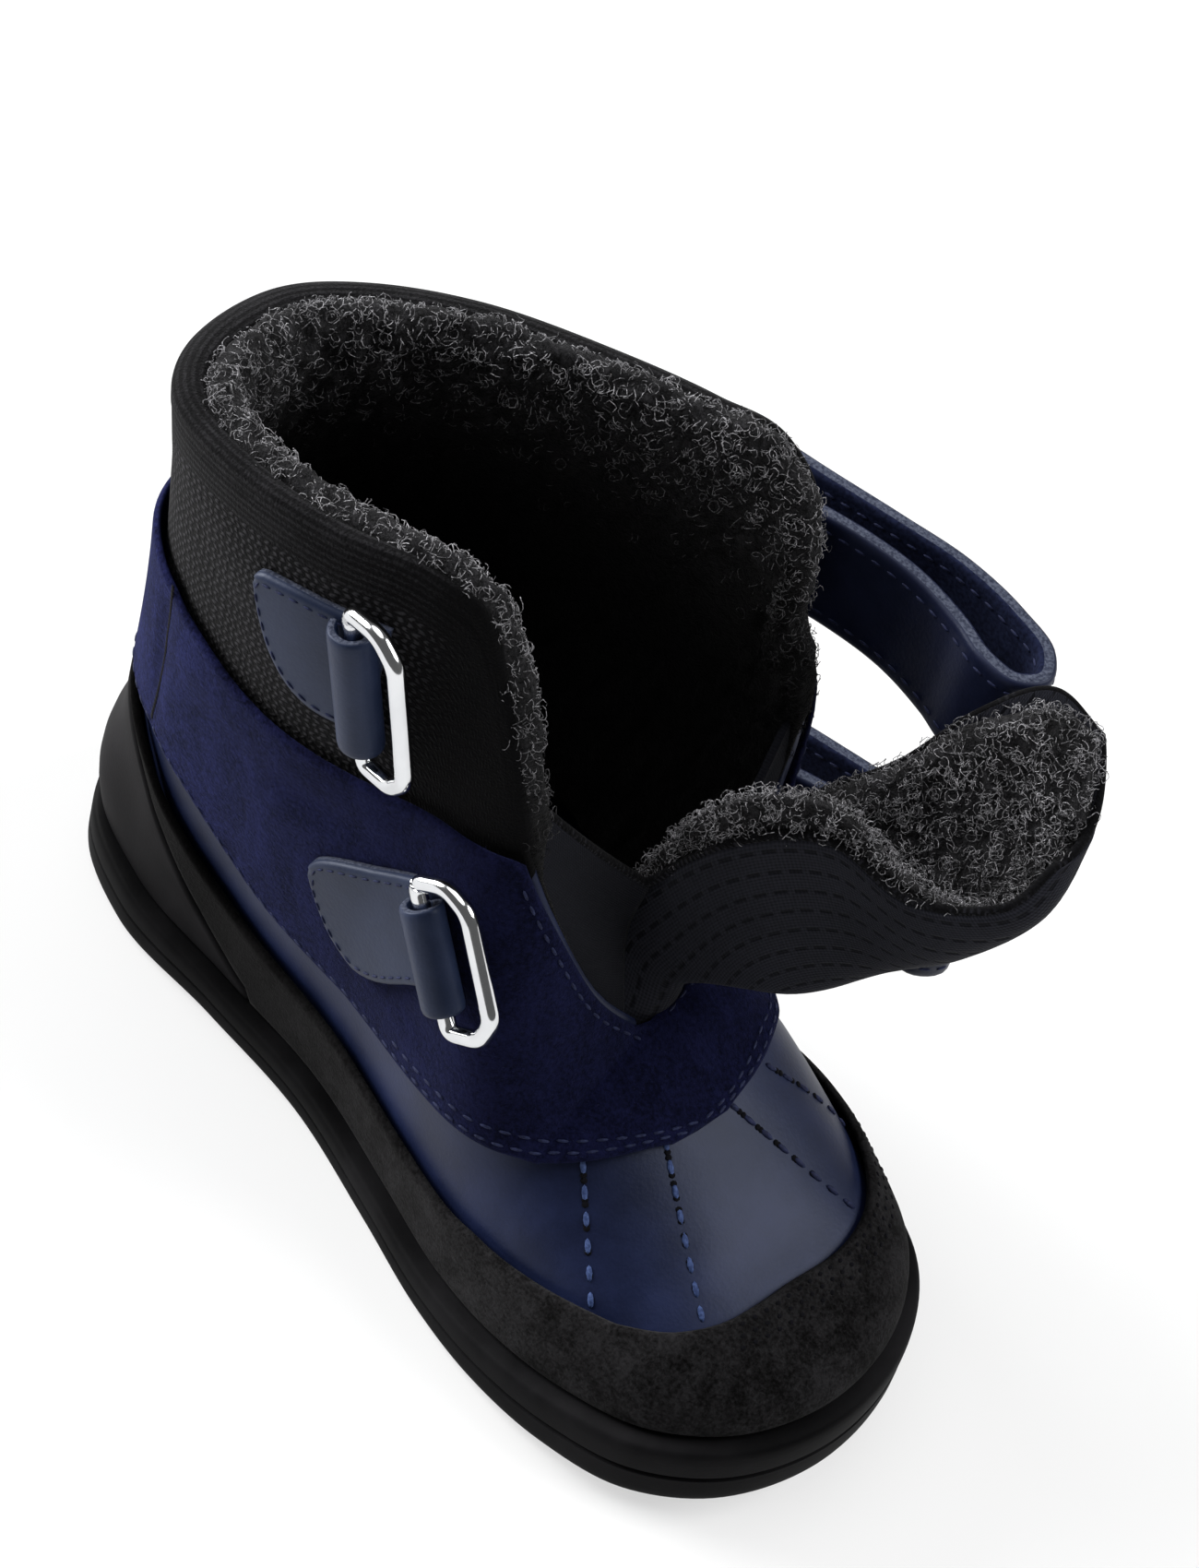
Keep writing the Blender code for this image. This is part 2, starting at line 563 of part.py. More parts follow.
def make_rand(collection):
    stations = rib_stations()
    inside = stations[(stations > RAND_START) & (stations < 2.0 - RAND_START)]
    along = np.concatenate(([RAND_START], inside, [2.0 - RAND_START]))
    position = side_share(along)
    over_counter = counter_line(along) + 2 * GAP
    foot = np.where(position < COUNTER_TOP[-1][0] + GAP / 100, over_counter, GAP)
    low = share_at_girth(along, foot)
    high = share_at_girth(along, read_table(RAND_TOP, position)[:, 0])
    return overlay("rand", along, low, high, 5, RAND_THICK, collection, "nubuck_black")


def make_suede(collection):
    inner_tip = INNER_TOP[-1][0] + SUEDE_TIP * RIDGE_SHARE
    outer_tip = OUTER_TOP[-1][0] + SUEDE_TIP * RIDGE_SHARE
    stations = rib_stations()
    start = BACKSTAY_HALF + BACKSTAY_SEAM
    inner = stations[(stations > start) & (stations < inner_tip - 0.004)]
    outer = stations[(stations > 2.0 - outer_tip + 0.004) & (stations < 2.0 - start)]
    along = np.concatenate(([start], inner, [inner_tip, 2.0 - outer_tip], outer, [2.0 - start]))
    low = share_at_height(along, SUEDE_LOW)
    high = np.minimum(share_at_height(along, KNIT_LINE), 1.0)
    position = side_share(along)
    throat = np.where(along <= 1.0, INNER_TOP[-1][0], OUTER_TOP[-1][0])
    below_edge = 1.0 - EDGE_MARGIN / np.linalg.norm(
        rib_controls(along)[3] - rib_controls(along)[0], axis=1)
    high = np.where(position < throat - 1e-6, np.minimum(high, below_edge), 1.0)
    tip = np.abs(position - np.where(along <= 1.0, inner_tip, outer_tip)) < 1e-6
    low = np.where(tip, 1.0, np.minimum(low, high - 0.02))
    return overlay("suede_quarter", along, low, high, 7, SUEDE_THICK, collection, "suede_navy", gap=SUEDE_GAP)


def make_backstay(collection):
    along = np.linspace(-BACKSTAY_HALF, BACKSTAY_HALF, 5)
    low = share_at_girth(along, counter_line(along) + 2 * GAP)
    high = share_at_height(along, KNIT_LINE)
    return overlay("backstay", along, low, high, 6, SUEDE_THICK, collection, "suede_navy")


def tongue_row(position, across):
    """A point of the tongue: position 0 root to 1 tip, across 0 near edge to 1 far edge."""
    rows = np.array(TONGUE)
    knots = np.linspace(0.0, 1.0, len(rows))
    row = curve_through(knots, rows, np.atleast_1d(position))
    near, belly, far = row[:, 0:3], row[:, 3:6], row[:, 6:9]
    handle = 2 * belly - (near + far) / 2
    t = np.reshape(across, (-1, 1))
    return (1 - t) ** 2 * near + 2 * t * (1 - t) * handle + t ** 2 * far


def make_tongue(collection):
    positions = np.linspace(0.0, 1.0, TONGUE_STEPS)
    shares = np.linspace(0.0, 1.0, 9)
    grid = np.stack([tongue_row(positions, np.full(TONGUE_STEPS, share)) for share in shares], axis=1)
    tongue = object_from_points("tongue", grid, collection, "textile_black")
    return thicken(tongue, TONGUE_THICK, 0)


def make_gusset(side, collection):
    """A soft web from inside the throat's edge to the tongue's edge."""
    inner = side == "medial"
    rows = INNER_TOP if inner else OUTER_TOP
    throat = rows[-1][0]
    reach = throat - rows[8][0]
    table = np.array(GUSSETS[side])
    steps = np.linspace(0.0, 1.0, 7)
    read = curve_through(np.linspace(0.0, 1.0, len(table)), table, steps)
    share = throat - reach * read[:, 0]
    along = share if inner else 2.0 - share
    length = np.linalg.norm(rib_controls(along)[3] - rib_controls(along)[0], axis=1)
    under = 1.0 - GUSSET_UNDER / length
    start = wall_offset(along, under, -(WALL + GUSSET_CLEAR + GUSSET_THICK))
    edge = 0.0 if inner else 1.0
    beside = tongue_row(read[:, 1], np.full(7, edge))
    next_in = tongue_row(read[:, 1], np.full(7, abs(edge - 0.05)))
    end = beside + unit(beside - next_in) * (2 * GAP + GUSSET_THICK)
    across = np.linspace(0.0, 1.0, 6)
    fold = np.array((0.7, 0.0, -0.7))
    grid = np.zeros((7, 6, 3))
    for column, w in enumerate(across):
        grid[:, column] = start + (end - start) * w + fold * (read[:, 2:3] * 4 * w * (1 - w))
    gusset = object_from_points(f"gusset_{side}", grid, collection, "textile_black")
    return thicken(gusset, GUSSET_THICK, 0)


def tab_frame(x, z, lean, seat):
    """Middle of a loop's axis, with the axis, the way forward along the wall and the way out."""
    along, share = find_on_wall(x, z)
    point = wall_point(along, share)[0]
    out = wall_normal(along, share)[0]
    axis = np.array((lean, 0.0, 1.0))
    axis = unit(axis - out * np.dot(axis, out))
    forward = np.cross(out, axis)
    forward = forward * np.sign(forward[0])
    radius = RING_WIRE / 2 + BAR_PLAY + LOOP_WALL
    return point, point + out * (seat + radius), axis, forward, out


def frame_matrix(origin, first, second, third):
    matrix = Matrix.Identity(4)
    for column, vector in enumerate((first, second, third)):
        for row in range(3):
            matrix[row][column] = vector[row]
    matrix.translation = Vector(origin) * MM
    return matrix


def make_tube(name, radius, length, matrix, collection, sides=16):
    mesh = bmesh.new()
    bmesh.ops.create_cone(mesh, cap_ends=True, segments=sides, radius1=radius * MM, radius2=radius * MM,
                          depth=length * MM)
    data = bpy.data.meshes.new(name)
    mesh.to_mesh(data)
    mesh.free()
    tube = bpy.data.objects.new(name, data)
    tube.matrix_world = matrix
    collection.objects.link(tube)
    tube.hide_render = True
    tube.display_type = "WIRE"
    return tube


def make_tab(name, frame, rise, seat, loop_length, leaf_length, collection, cutters):
    """A pointed leather leaf on the wall whose front end is sewn into a loop round the ring's bar."""
    point, centre, axis, forward, out = frame
    way = np.array((1.0, 0.0, rise))
    way = unit(way - out * np.dot(way, out))
    columns, rows = 9, 7
    grid = np.zeros((columns, rows, 3))
    for column in range(columns):
        back = column / (columns - 1)
        top = LEAF_HEIGHT / 2 - LEAF_DROP * back
        bottom = -LEAF_HEIGHT / 2 + (LEAF_HEIGHT - LEAF_DROP - LEAF_TIP) * back ** LEAF_SHOULDER
        for row in range(rows):
            height = bottom + (top - bottom) * row / (rows - 1)
            grid[columns - 1 - column, row] = point - way * back * leaf_length + axis * height
    seated = seat_on_wall(grid, seat)
    tab = object_from_points(f"ring_tab_{name}", seated, collection, "leather_navy", weld=False)
    thicken(tab, LEAF_THICK, 1)
    radius = RING_WIRE / 2 + BAR_PLAY + LOOP_WALL
    matrix = frame_matrix(centre, forward, np.cross(axis, forward), axis)
    loop = make_tube(f"loop_{name}", radius, loop_length, matrix, cutters)
    bore = make_tube(f"loop_bore_{name}", RING_WIRE / 2 + BAR_PLAY, 2 * loop_length, matrix, cutters)
    for tool, operation in ((loop, "UNION"), (bore, "DIFFERENCE")):
        join = tab.modifiers.new(tool.name, "BOOLEAN")
        join.operation = operation
        join.solver = "EXACT"
        join.object = tool
    return tab


def seat_on_wall(grid, seat):
    """Move each point of a small sheet onto the upper's wall, at its own x and height."""
    seated = grid.copy()
    for column in range(grid.shape[0]):
        for row in range(grid.shape[1]):
            along, share = find_on_wall(grid[column, row, 0], grid[column, row, 2])
            seated[column, row] = wall_offset(along, share, seat)[0]
    return seated


def ring_outline(length):
    """Middle line of a ring in its own plane: first across from the bar, second along the bar."""
    long = (length - RING_WIRE) / 2
    wide = RING_WIDTH - RING_WIRE
    half = [(0.0, long - RING_CORNER), (0.3 * RING_CORNER, long - 0.3 * RING_CORNER), (RING_CORNER, long),
            (wide - RING_CHAMFER - 1.0, long), (wide - RING_CHAMFER + 0.6, long - 0.4),
            (wide - 0.5, long - RING_CHAMFER + 0.4), (wide, long - RING_CHAMFER - 1.2)]
    mirrored = [(across, -height) for across, height in half[::-1]]
    return half + mirrored


def make_ring(name, frame, turn, length, collection):
    """A wire ring; its origin is on the axis of the bar that the loop holds."""
    _, centre, axis, forward, out = frame
    data = bpy.data.curves.new(f"ring_{name}", "CURVE")
    data.dimensions = "3D"
    data.bevel_depth = RING_WIRE / 2 * MM
    data.bevel_resolution = 2
    path = ring_outline(length)
    spline = data.splines.new("POLY")
    spline.points.add(len(path) - 1)
    spline.use_cyclic_u = True
    for point, (across, height) in zip(spline.points, path):
        point.co = (across * MM, 0.0, height * MM, 1.0)
    ring = bpy.data.objects.new(f"ring_{name}", data)
    side = np.cross(axis, forward)
    swing = Matrix.Rotation(math.radians(turn) * float(np.sign(np.dot(side, out))), 4, "Z")
    ring.matrix_world = frame_matrix(centre, forward, side, axis) @ swing
    data.materials.append(make_material("steel_chrome"))
    collection.objects.link(ring)
    return ring


def make_strap(name, sewn_height, fold_height, route, collection):
    """A strap sewn to the outer wall that runs forward and folds back on itself."""
    levels = np.linspace(-STRAP_WIDTH / 2, STRAP_WIDTH / 2, 3)
    steps = 33
    grid = np.zeros((steps, len(levels), 3))
    for row, level in enumerate(levels):
        points = []
        for x in STRAP_SEWN:
            along, share = find_on_wall(x, sewn_height + level, "outer")
            points.append(wall_offset(along, share, OVER_SUEDE + STRAP_THICK / 2)[0])
        fold = max(x for x, _ in route)
        for x, y in route:
            height = sewn_height + (fold_height - sewn_height) * ease(x, STRAP_SEWN[-1], fold)
            points.append(np.array((x, y, height + level)))
        points = np.array(points)
        knots = chord_shares(points)
        grid[:, row] = curve_through(knots, points, np.linspace(0.0, 1.0, steps))
    strap = object_from_points(f"strap_{name}", grid, collection, "leather_navy")
    return thicken(strap, STRAP_THICK, 0)


def main():
    clear_scene()
    parts = make_collection(OBJECT_NAME)
    cutters = make_collection(CUTTER_NAME)
    make_outsole(parts, cutters)
    make_insole(parts)
    make_upper(parts)
    make_counter(parts)
    make_rand(parts)
    make_suede(parts)
    make_backstay(parts)
    make_tongue(parts)
    make_gusset("medial", parts)
    make_gusset("lateral", parts)
    for name, x, z, lean, rise, seat, turn, loop_length, leaf_length, ring_length in TABS:
        frame = tab_frame(x, z, lean, seat)
        make_tab(name, frame, rise, seat, loop_length, leaf_length, parts, cutters)
        make_ring(name, frame, turn, ring_length, parts)
    for name, sewn_height, fold_height, route in STRAPS:
        make_strap(name, sewn_height, fold_height, route, parts)


main()
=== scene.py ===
import math

import bmesh
import bpy
import numpy as np
from mathutils import Matrix, Vector, noise as turbulence


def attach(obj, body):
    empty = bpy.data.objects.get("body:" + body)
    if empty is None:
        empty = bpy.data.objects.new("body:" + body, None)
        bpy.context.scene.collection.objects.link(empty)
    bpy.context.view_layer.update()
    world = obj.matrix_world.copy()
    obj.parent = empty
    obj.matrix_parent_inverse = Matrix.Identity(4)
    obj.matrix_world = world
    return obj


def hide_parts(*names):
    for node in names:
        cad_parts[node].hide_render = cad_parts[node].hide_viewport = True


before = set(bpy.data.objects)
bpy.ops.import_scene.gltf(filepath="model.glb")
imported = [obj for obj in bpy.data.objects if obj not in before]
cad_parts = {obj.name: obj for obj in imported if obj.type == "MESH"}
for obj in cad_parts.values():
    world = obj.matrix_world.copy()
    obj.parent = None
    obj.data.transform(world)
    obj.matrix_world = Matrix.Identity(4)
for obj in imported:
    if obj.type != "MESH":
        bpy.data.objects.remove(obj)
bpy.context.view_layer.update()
print("frame loaded")

mm = 0.001

# the boot's last, in millimetres: x to the toe, y to the outer side, z up
last = {
    "innerOutline": (
        (-82.5, 0.0), (-79.4, -12.2), (-71.5, -22.6), (-56.0, -28.3), (-33.0, -27.6), (-11.5, -27.4),
        (10.0, -31.0), (26.5, -34.2), (40.0, -35.2), (54.5, -34.0), (67.5, -30.0), (76.5, -22.0),
        (82.5, -5.0)),
    "outerOutline": (
        (-82.5, 0.0), (-79.3, 11.0), (-72.5, 20.5), (-57.5, 27.0), (-38.0, 28.5), (-16.5, 30.5),
        (3.0, 33.5), (23.0, 36.5), (41.0, 36.6), (56.0, 33.2), (69.5, 26.3), (78.5, 14.8),
        (82.5, -5.0)),
    "toeSpring": (30.0, 82.5, 5.2),     # start, end, rise
    "heelBevel": (68.0, 82.5, 1.2),
    "rimHeight": 7.0,
    "rimToe": (6.5, 15.0, 78.0),        # extra height, from, to
    "rimHeel": (3.4, 25.0, 72.0),
    "cupFloor": 4.6,
    "featherInset": 5.0,
    # top edge: share of the way from heel to toe, x, y, z, steepness, lean
    "innerTop": (
        (0.000, -68.0, -4.0, 113.5, 1.00, 0.13), (0.100, -64.6, -21.2, 114.5, 1.00, 0.13),
        (0.190, -55.0, -30.6, 115.5, 1.00, 0.10), (0.280, -39.0, -32.0, 116.5, 1.00, 0.02),
        (0.360, -23.5, -28.5, 117.2, 1.00, -0.08), (0.420, -11.0, -22.5, 117.2, 1.00, -0.14),
        (0.450, -4.5, -19.5, 114.5, 1.00, -0.15), (0.475, -0.5, -18.5, 107.0, 0.97, -0.14),
        (0.510, 5.0, -18.8, 96.8, 0.92, -0.10), (0.545, 10.8, -18.3, 85.2, 0.80, -0.04),
        (0.590, 17.6, -14.6, 70.8, 0.55, 0.00), (0.630, 22.6, -8.0, 56.0, 0.25, 0.00),
        (0.665, 26.0, 0.0, 46.5, 0.00, 0.00)),
    "outerTop": (
        (0.000, -68.0, -4.0, 113.5, 1.00, 0.13), (0.090, -62.3, 8.8, 113.3, 1.00, 0.13),
        (0.180, -50.5, 20.4, 113.6, 1.00, 0.13), (0.270, -34.5, 29.8, 113.8, 1.00, 0.13),
        (0.350, -19.0, 36.6, 114.0, 1.00, 0.13), (0.405, -8.5, 40.0, 113.6, 1.00, 0.10),
        (0.430, -3.5, 40.8, 110.2, 1.00, 0.08), (0.455, 0.0, 41.0, 103.0, 0.97, 0.05),
        (0.485, 2.6, 40.2, 91.0, 0.92, 0.02), (0.520, 9.5, 39.0, 79.5, 0.80, 0.00),
        (0.560, 15.5, 30.5, 62.5, 0.55, 0.00), (0.605, 21.0, 15.0, 49.6, 0.25, 0.00),
        (0.640, 26.0, 0.0, 46.5, 0.00, 0.00)),
    "ridge": ((0.0, 26.0, 0.0, 46.5), (0.5, 39.5, -1.0, 38.8), (1.0, 52.0, -2.0, 32.8)),
    "ridgeShare": 0.115,
    "ridgeSlope": -0.53,
    # handles of the ribs: the lower one's lean and rise, and how far the upper one reaches
    "footLean": 0.02,
    "rise": (0.55, 14.0, 0.22),
    "reachSteep": 0.36,
    "reachInner": 0.64,
    "reachOuter": 0.82,
    "reachBlend": (0.80, 1.0),
}
innerThroat = last["innerTop"][-1][0]
outerThroat = last["outerTop"][-1][0]


def curveThrough(knots, values, at):
    knots, values, at = (np.asarray(item, float) for item in (knots, values, at))
    slopes = np.gradient(values, knots, axis=0)
    low = np.clip(np.searchsorted(knots, at, side="right") - 1, 0, len(knots) - 2)
    span = (knots[low + 1] - knots[low])[:, None]
    share = np.clip((at - knots[low])[:, None] / span, 0.0, 1.0)
    keep = 2 * share ** 3 - 3 * share ** 2 + 1
    leave = share ** 3 - 2 * share ** 2 + share
    arrive = share ** 3 - share ** 2
    return (keep * values[low] + (1 - keep) * values[low + 1]
            + span * (leave * slopes[low] + arrive * slopes[low + 1]))


def listed(values):
    return np.atleast_1d(np.asarray(values, float))


def readTable(rows, at):
    table = np.array(rows, float)
    return curveThrough(table[:, 0], table[:, 1:], listed(at))


def readHeld(rows, at):
    # one value a row, with the end values held past both ends
    return readTable(rows, np.clip(at, rows[0][0], rows[-1][0]))[:, 0]


def runLength(points, axis=0):
    # the way gone from the first point, along one axis of a line or grid
    steps = np.linalg.norm(np.diff(points, axis=axis), axis=-1)
    start = np.zeros_like(np.take(steps, [0], axis=axis))
    return np.concatenate((start, np.cumsum(steps, axis=axis)), axis=axis)


def chordShares(points):
    run = runLength(points)
    return run / run[-1]


def alongLine(points, at):
    # by share of the line's own length
    points = np.array(points, float)
    return curveThrough(chordShares(points), points, at)


def throughRows(rows, at):
    # by share of the way from the first row to the last
    rows = np.array(rows, float)
    return curveThrough(np.linspace(0.0, 1.0, len(rows)), rows, at)


def unit(vectors):
    return vectors / np.maximum(np.linalg.norm(vectors, axis=-1, keepdims=True), 1e-9)


def ease(x, start, end):
    share = np.clip((np.asarray(x, float) - start) / (end - start), 0.0, 1.0)
    return share * share * (3 - 2 * share)


def outlineLoop():
    inner, outer = np.array(last["innerOutline"]), np.array(last["outerOutline"])
    knots = np.concatenate((chordShares(inner), (2.0 - chordShares(outer)[::-1])[1:-1]))
    points = np.vstack((inner, outer[::-1][1:-1]))
    return np.concatenate((knots - 2.0, knots, knots + 2.0)), np.vstack((points, points, points))


outlineKnots, outlinePoints = outlineLoop()


def soleOutline(along, inset=0.0):
    along = listed(along)
    nudge = 0.002
    point = curveThrough(outlineKnots, outlinePoints, along)
    ahead = curveThrough(outlineKnots, outlinePoints, along + nudge)
    behind = curveThrough(outlineKnots, outlinePoints, along - nudge)
    tangent = unit(ahead - behind)
    outward = np.stack((tangent[:, 1], -tangent[:, 0]), axis=1)
    return point - outward * np.reshape(inset, (-1, 1)), outward


def soleRing(along, inset, height):
    return np.column_stack((soleOutline(along, inset)[0], height))


def groundLine(x):
    start, end, rise = last["toeSpring"]
    toe = np.clip((np.asarray(x, float) - start) / (end - start), 0.0, 1.2)
    start, end, heelRise = last["heelBevel"]
    heel = np.clip((-np.asarray(x, float) - start) / (end - start), 0.0, 1.2)
    return rise * toe ** 2 + heelRise * heel ** 2


def rimHeight(x):
    extra, start, end = last["rimToe"]
    toe = extra * ease(x, start, end)
    extra, start, end = last["rimHeel"]
    return last["rimHeight"] + toe + extra * ease(-np.asarray(x, float), start, end)


def topTable(own, other):
    # starts a little way round the heel on the other side, so that the collar is round there
    behind = [(-row[0], *row[1:]) for row in other[2:0:-1]]
    return (*behind, *own)


topTables = {"inner": topTable(last["innerTop"], last["outerTop"]),
             "outer": topTable(last["outerTop"], last["innerTop"])}


def ribControls(along):
    along = listed(along) % 2.0
    inner = along <= 1.0
    share = np.where(inner, along, 2.0 - along)
    foot, outward = soleOutline(along, last["featherInset"])
    onLine, _ = soleOutline(along)
    foot = np.column_stack((foot, groundLine(onLine[:, 0]) + rimHeight(onLine[:, 0])))
    top = np.zeros((len(along), 3))
    steep = np.zeros(len(along))
    flare = np.zeros(len(along))
    for side, rows in ((inner, topTables["inner"]), (~inner, topTables["outer"])):
        if not side.any():
            continue
        throat = rows[-1][0]
        edge = readTable(rows, np.minimum(share[side], throat))
        ridge = readTable(last["ridge"], np.clip((share[side] - throat) / last["ridgeShare"], 0.0, 1.0))
        past = share[side] > throat
        top[side] = np.where(past[:, None], ridge, edge[:, :3])
        steep[side] = np.where(past, 0.0, np.clip(edge[:, 3], 0.0, 1.0))
        flare[side] = np.where(past, 0.0, edge[:, 4])
    tall = top[:, 2] - foot[:, 2]
    across = foot[:, :2] - top[:, :2]
    width = np.linalg.norm(across, axis=1)
    flat = unit(across)
    flat = np.column_stack((flat, last["ridgeSlope"] * flat[:, 0]))
    upright = np.column_stack((-flare[:, None] * outward, -np.ones(len(along))))
    lean = unit(steep[:, None] * upright + (1 - steep)[:, None] * flat)
    reachFlat = np.where(inner, last["reachInner"], last["reachOuter"])
    reachFlat = reachFlat + (last["reachInner"] - reachFlat) * ease(share, *last["reachBlend"])
    reach = steep * last["reachSteep"] * tall + (1 - steep) * reachFlat * width
    low, base, high = last["rise"]
    rise = np.minimum(low * tall, base + high * tall)
    upward = np.column_stack((outward * last["footLean"], np.ones(len(along))))
    return foot, foot + upward * rise[:, None], top + lean * reach[:, None], top


def wallPoint(along, share):
    foot, low, high, top = ribControls(along)
    t = listed(share)[:, None]
    return (1 - t) ** 3 * foot + 3 * t * (1 - t) ** 2 * low + 3 * t ** 2 * (1 - t) * high + t ** 3 * top


def wallNormal(along, share):
    nudge, below = 0.004, (0.93, 0.97)
    along = listed(along)
    share = np.clip(listed(share), 0.0, below[1])
    around = wallPoint(along + nudge, share) - wallPoint(along - nudge, share)
    upward = wallPoint(along, share + nudge) - wallPoint(along, share - nudge)
    normal = unit(np.cross(around, upward))
    crest = unit(np.array((-last["ridgeSlope"], 0.0, 1.0)))
    near = ease(share, *below) * onRidge(along)
    return unit(normal + (crest - normal) * near[:, None])


def wallGrid(along, share):
    # points and normals for a grid of places on the wall
    shape = (*share.shape, 3)
    along, share = np.broadcast_to(along, share.shape).ravel(), share.ravel()
    return wallPoint(along, share).reshape(shape), wallNormal(along, share).reshape(shape)


def wallOffset(along, share, distance):
    return wallPoint(along, share) + wallNormal(along, share) * np.reshape(distance, (-1, 1))


def sideShare(along):
    along = listed(along) % 2.0
    return np.where(along <= 1.0, along, 2.0 - along)


def throatAt(along):
    return np.where(listed(along) % 2.0 <= 1.0, innerThroat, outerThroat)


def onRidge(along):
    # past the throat, where the two sides meet on the ridge of the toe
    return sideShare(along) >= throatAt(along) - 1e-6


def ribSamples(along, count=80):
    along = listed(along)
    shares = np.linspace(0.0, 1.0, count)
    points = wallPoint(np.repeat(along, count), np.tile(shares, len(along)))
    return shares, points.reshape(len(along), count, 3)


def girths(along):
    shares, points = ribSamples(along)
    return shares, runLength(points, 1)


def shareAtGirth(along, girth):
    shares, lengths = girths(along)
    girth = np.broadcast_to(girth, (len(lengths),))
    return np.array([np.interp(want, row, shares) for want, row in zip(girth, lengths)])


def shareBelowTop(along, depth):
    shares, lengths = girths(along)
    depth = np.broadcast_to(depth, (len(lengths),))
    return np.array([np.interp(row[-1] - want, row, shares) for want, row in zip(depth, lengths)])


def shareAtHeight(along, rows):
    shares, points = ribSamples(along)
    result = []
    for rib in points:
        above = rib[:, 2] - readHeld(rows, rib[:, 0])
        over = np.flatnonzero(above > 0)
        if len(over) == 0:
            result.append(1.0)
        elif over[0] == 0:
            result.append(0.0)
        else:
            first = over[0] - 1
            result.append(np.interp(0.0, above[first:first + 2], shares[first:first + 2]))
    return np.array(result)


def wallMap(first, end):
    positions, shares = np.meshgrid(np.linspace(first, end, 160), np.linspace(0.0, 1.0, 80), indexing="ij")
    positions, shares = positions.ravel(), shares.ravel()
    return positions, shares, wallPoint(positions, shares)


wallMaps = {"inner": wallMap(0.02, 0.80), "outer": wallMap(1.98, 1.20), "toe": wallMap(0.66, 1.38)}


def findOnWall(x, z, side="inner"):
    # by x and height on the sides, and by x and y on the toe
    up = 1 if side == "toe" else 2
    positions, shares, points = wallMaps[side]
    x, z = listed(x), listed(z)
    best = np.array([np.argmin((points[:, 0] - a) ** 2 + (points[:, up] - b) ** 2) for a, b in zip(x, z)])
    along, share = positions[best], shares[best]
    nudge = 0.002
    for _ in range(3):
        here = wallPoint(along, share)
        byAlong = (wallPoint(along + nudge, share) - here) / nudge
        byShare = (wallPoint(along, share + nudge) - here) / nudge
        missX, missZ = x - here[:, 0], z - here[:, up]
        area = byAlong[:, 0] * byShare[:, up] - byShare[:, 0] * byAlong[:, up]
        along = along + np.clip((missX * byShare[:, up] - missZ * byShare[:, 0]) / area, -0.02, 0.02)
        share = share + np.clip((byAlong[:, 0] * missZ - byAlong[:, up] * missX) / area, -0.04, 0.04)
    return along, np.clip(share, 0.0, 1.0)


def lineOnWall(ends, count, side="inner"):
    share = np.linspace(0.0, 1.0, count)
    startX, startZ, endX, endZ = ends
    return findOnWall(startX + (endX - startX) * share, startZ + (endZ - startZ) * share, side)


def wallLine(along, share, height):
    return wallOffset(along, share, height), wallNormal(along, share)


# node maths for the finishes
class Wire:
    def __init__(self, tree, socket):
        self.tree = tree
        self.socket = socket

    def node(self, kind, settings=None, inputs=None, out=0):
        item = self.tree.nodes.new(kind)
        for key, value in (settings or {}).items():
            setattr(item, key, value)
        for key, value in (inputs or {}).items():
            if isinstance(value, Wire):
                self.tree.links.new(value.socket, item.inputs[key])
            else:
                item.inputs[key].default_value = value
        return Wire(self.tree, item.outputs[out])

    def math(self, operation, other=0.0, third=0.0):
        values = {0: self, 1: other, 2: third}
        return self.node("ShaderNodeMath", {"operation": operation}, values)

    def __add__(self, other):
        return self.math("ADD", other)

    def __mul__(self, other):
        return self.math("MULTIPLY", other)

    def __sub__(self, other):
        return self.math("SUBTRACT", other)

    def __rsub__(self, other):
        return self.math("MULTIPLY_ADD", -1.0, other)

    def __pow__(self, other):
        return self.math("POWER", other)

    __radd__ = __add__
    __rmul__ = __mul__

    def between(self, low, high):
        settings = {"clamp": True, "interpolation_type": "SMOOTHSTEP"}
        return self.node("ShaderNodeMapRange", settings, {"Value": self, 1: low, 2: high})

    def blend(self, first, second):
        values = {0: self, 6: first, 7: second}
        return self.node("ShaderNodeMix", {"data_type": "RGBA"}, values, out=2)

    def tint(self, dark, light):
        return self.blend((*dark, 1.0), (*light, 1.0))

    def part(self, axis):
        return self.node("ShaderNodeSeparateXYZ", None, {0: self}, out=axis)

    def wave(self, length):
        # up from 0 to 1 over one length and down again over the next
        return (self * (1.0 / length)).math("PINGPONG", 1.0)


def startMaterial(name, fixed):
    material = bpy.data.materials.new(name)
    material.use_nodes = True
    tree = material.node_tree
    shader = tree.nodes["Principled BSDF"]
    for key, value in fixed.items():
        shader.inputs[key].default_value = value
    place = Wire(tree, tree.nodes.new("ShaderNodeTexCoord").outputs["Object"])
    return material, shader, place


def link(shader, key, wire):
    wire.tree.links.new(wire.socket, shader.inputs[key])


def noise(place, scale, detail=3.0, rough=0.55, swirl=0.0):
    values = {"Vector": place, "Scale": scale, "Detail": detail, "Roughness": rough, "Distortion": swirl}
    return place.node("ShaderNodeTexNoise", None, values)


def bump(height, strength, distance):
    values = {"Height": height, "Strength": strength, "Distance": distance}
    return height.node("ShaderNodeBump", None, values)


def endMaterial(material, shader, tone, rough, relief=None):
    # relief is a height, a strength and a distance
    link(shader, "Base Color", tone)
    link(shader, "Roughness", rough)
    if relief:
        link(shader, "Normal", bump(*relief))
    return material


def uvSplit(place):
    spot = place.node("ShaderNodeUVMap", {"uv_map": "flat"})
    return spot.part(0), spot.part(1)


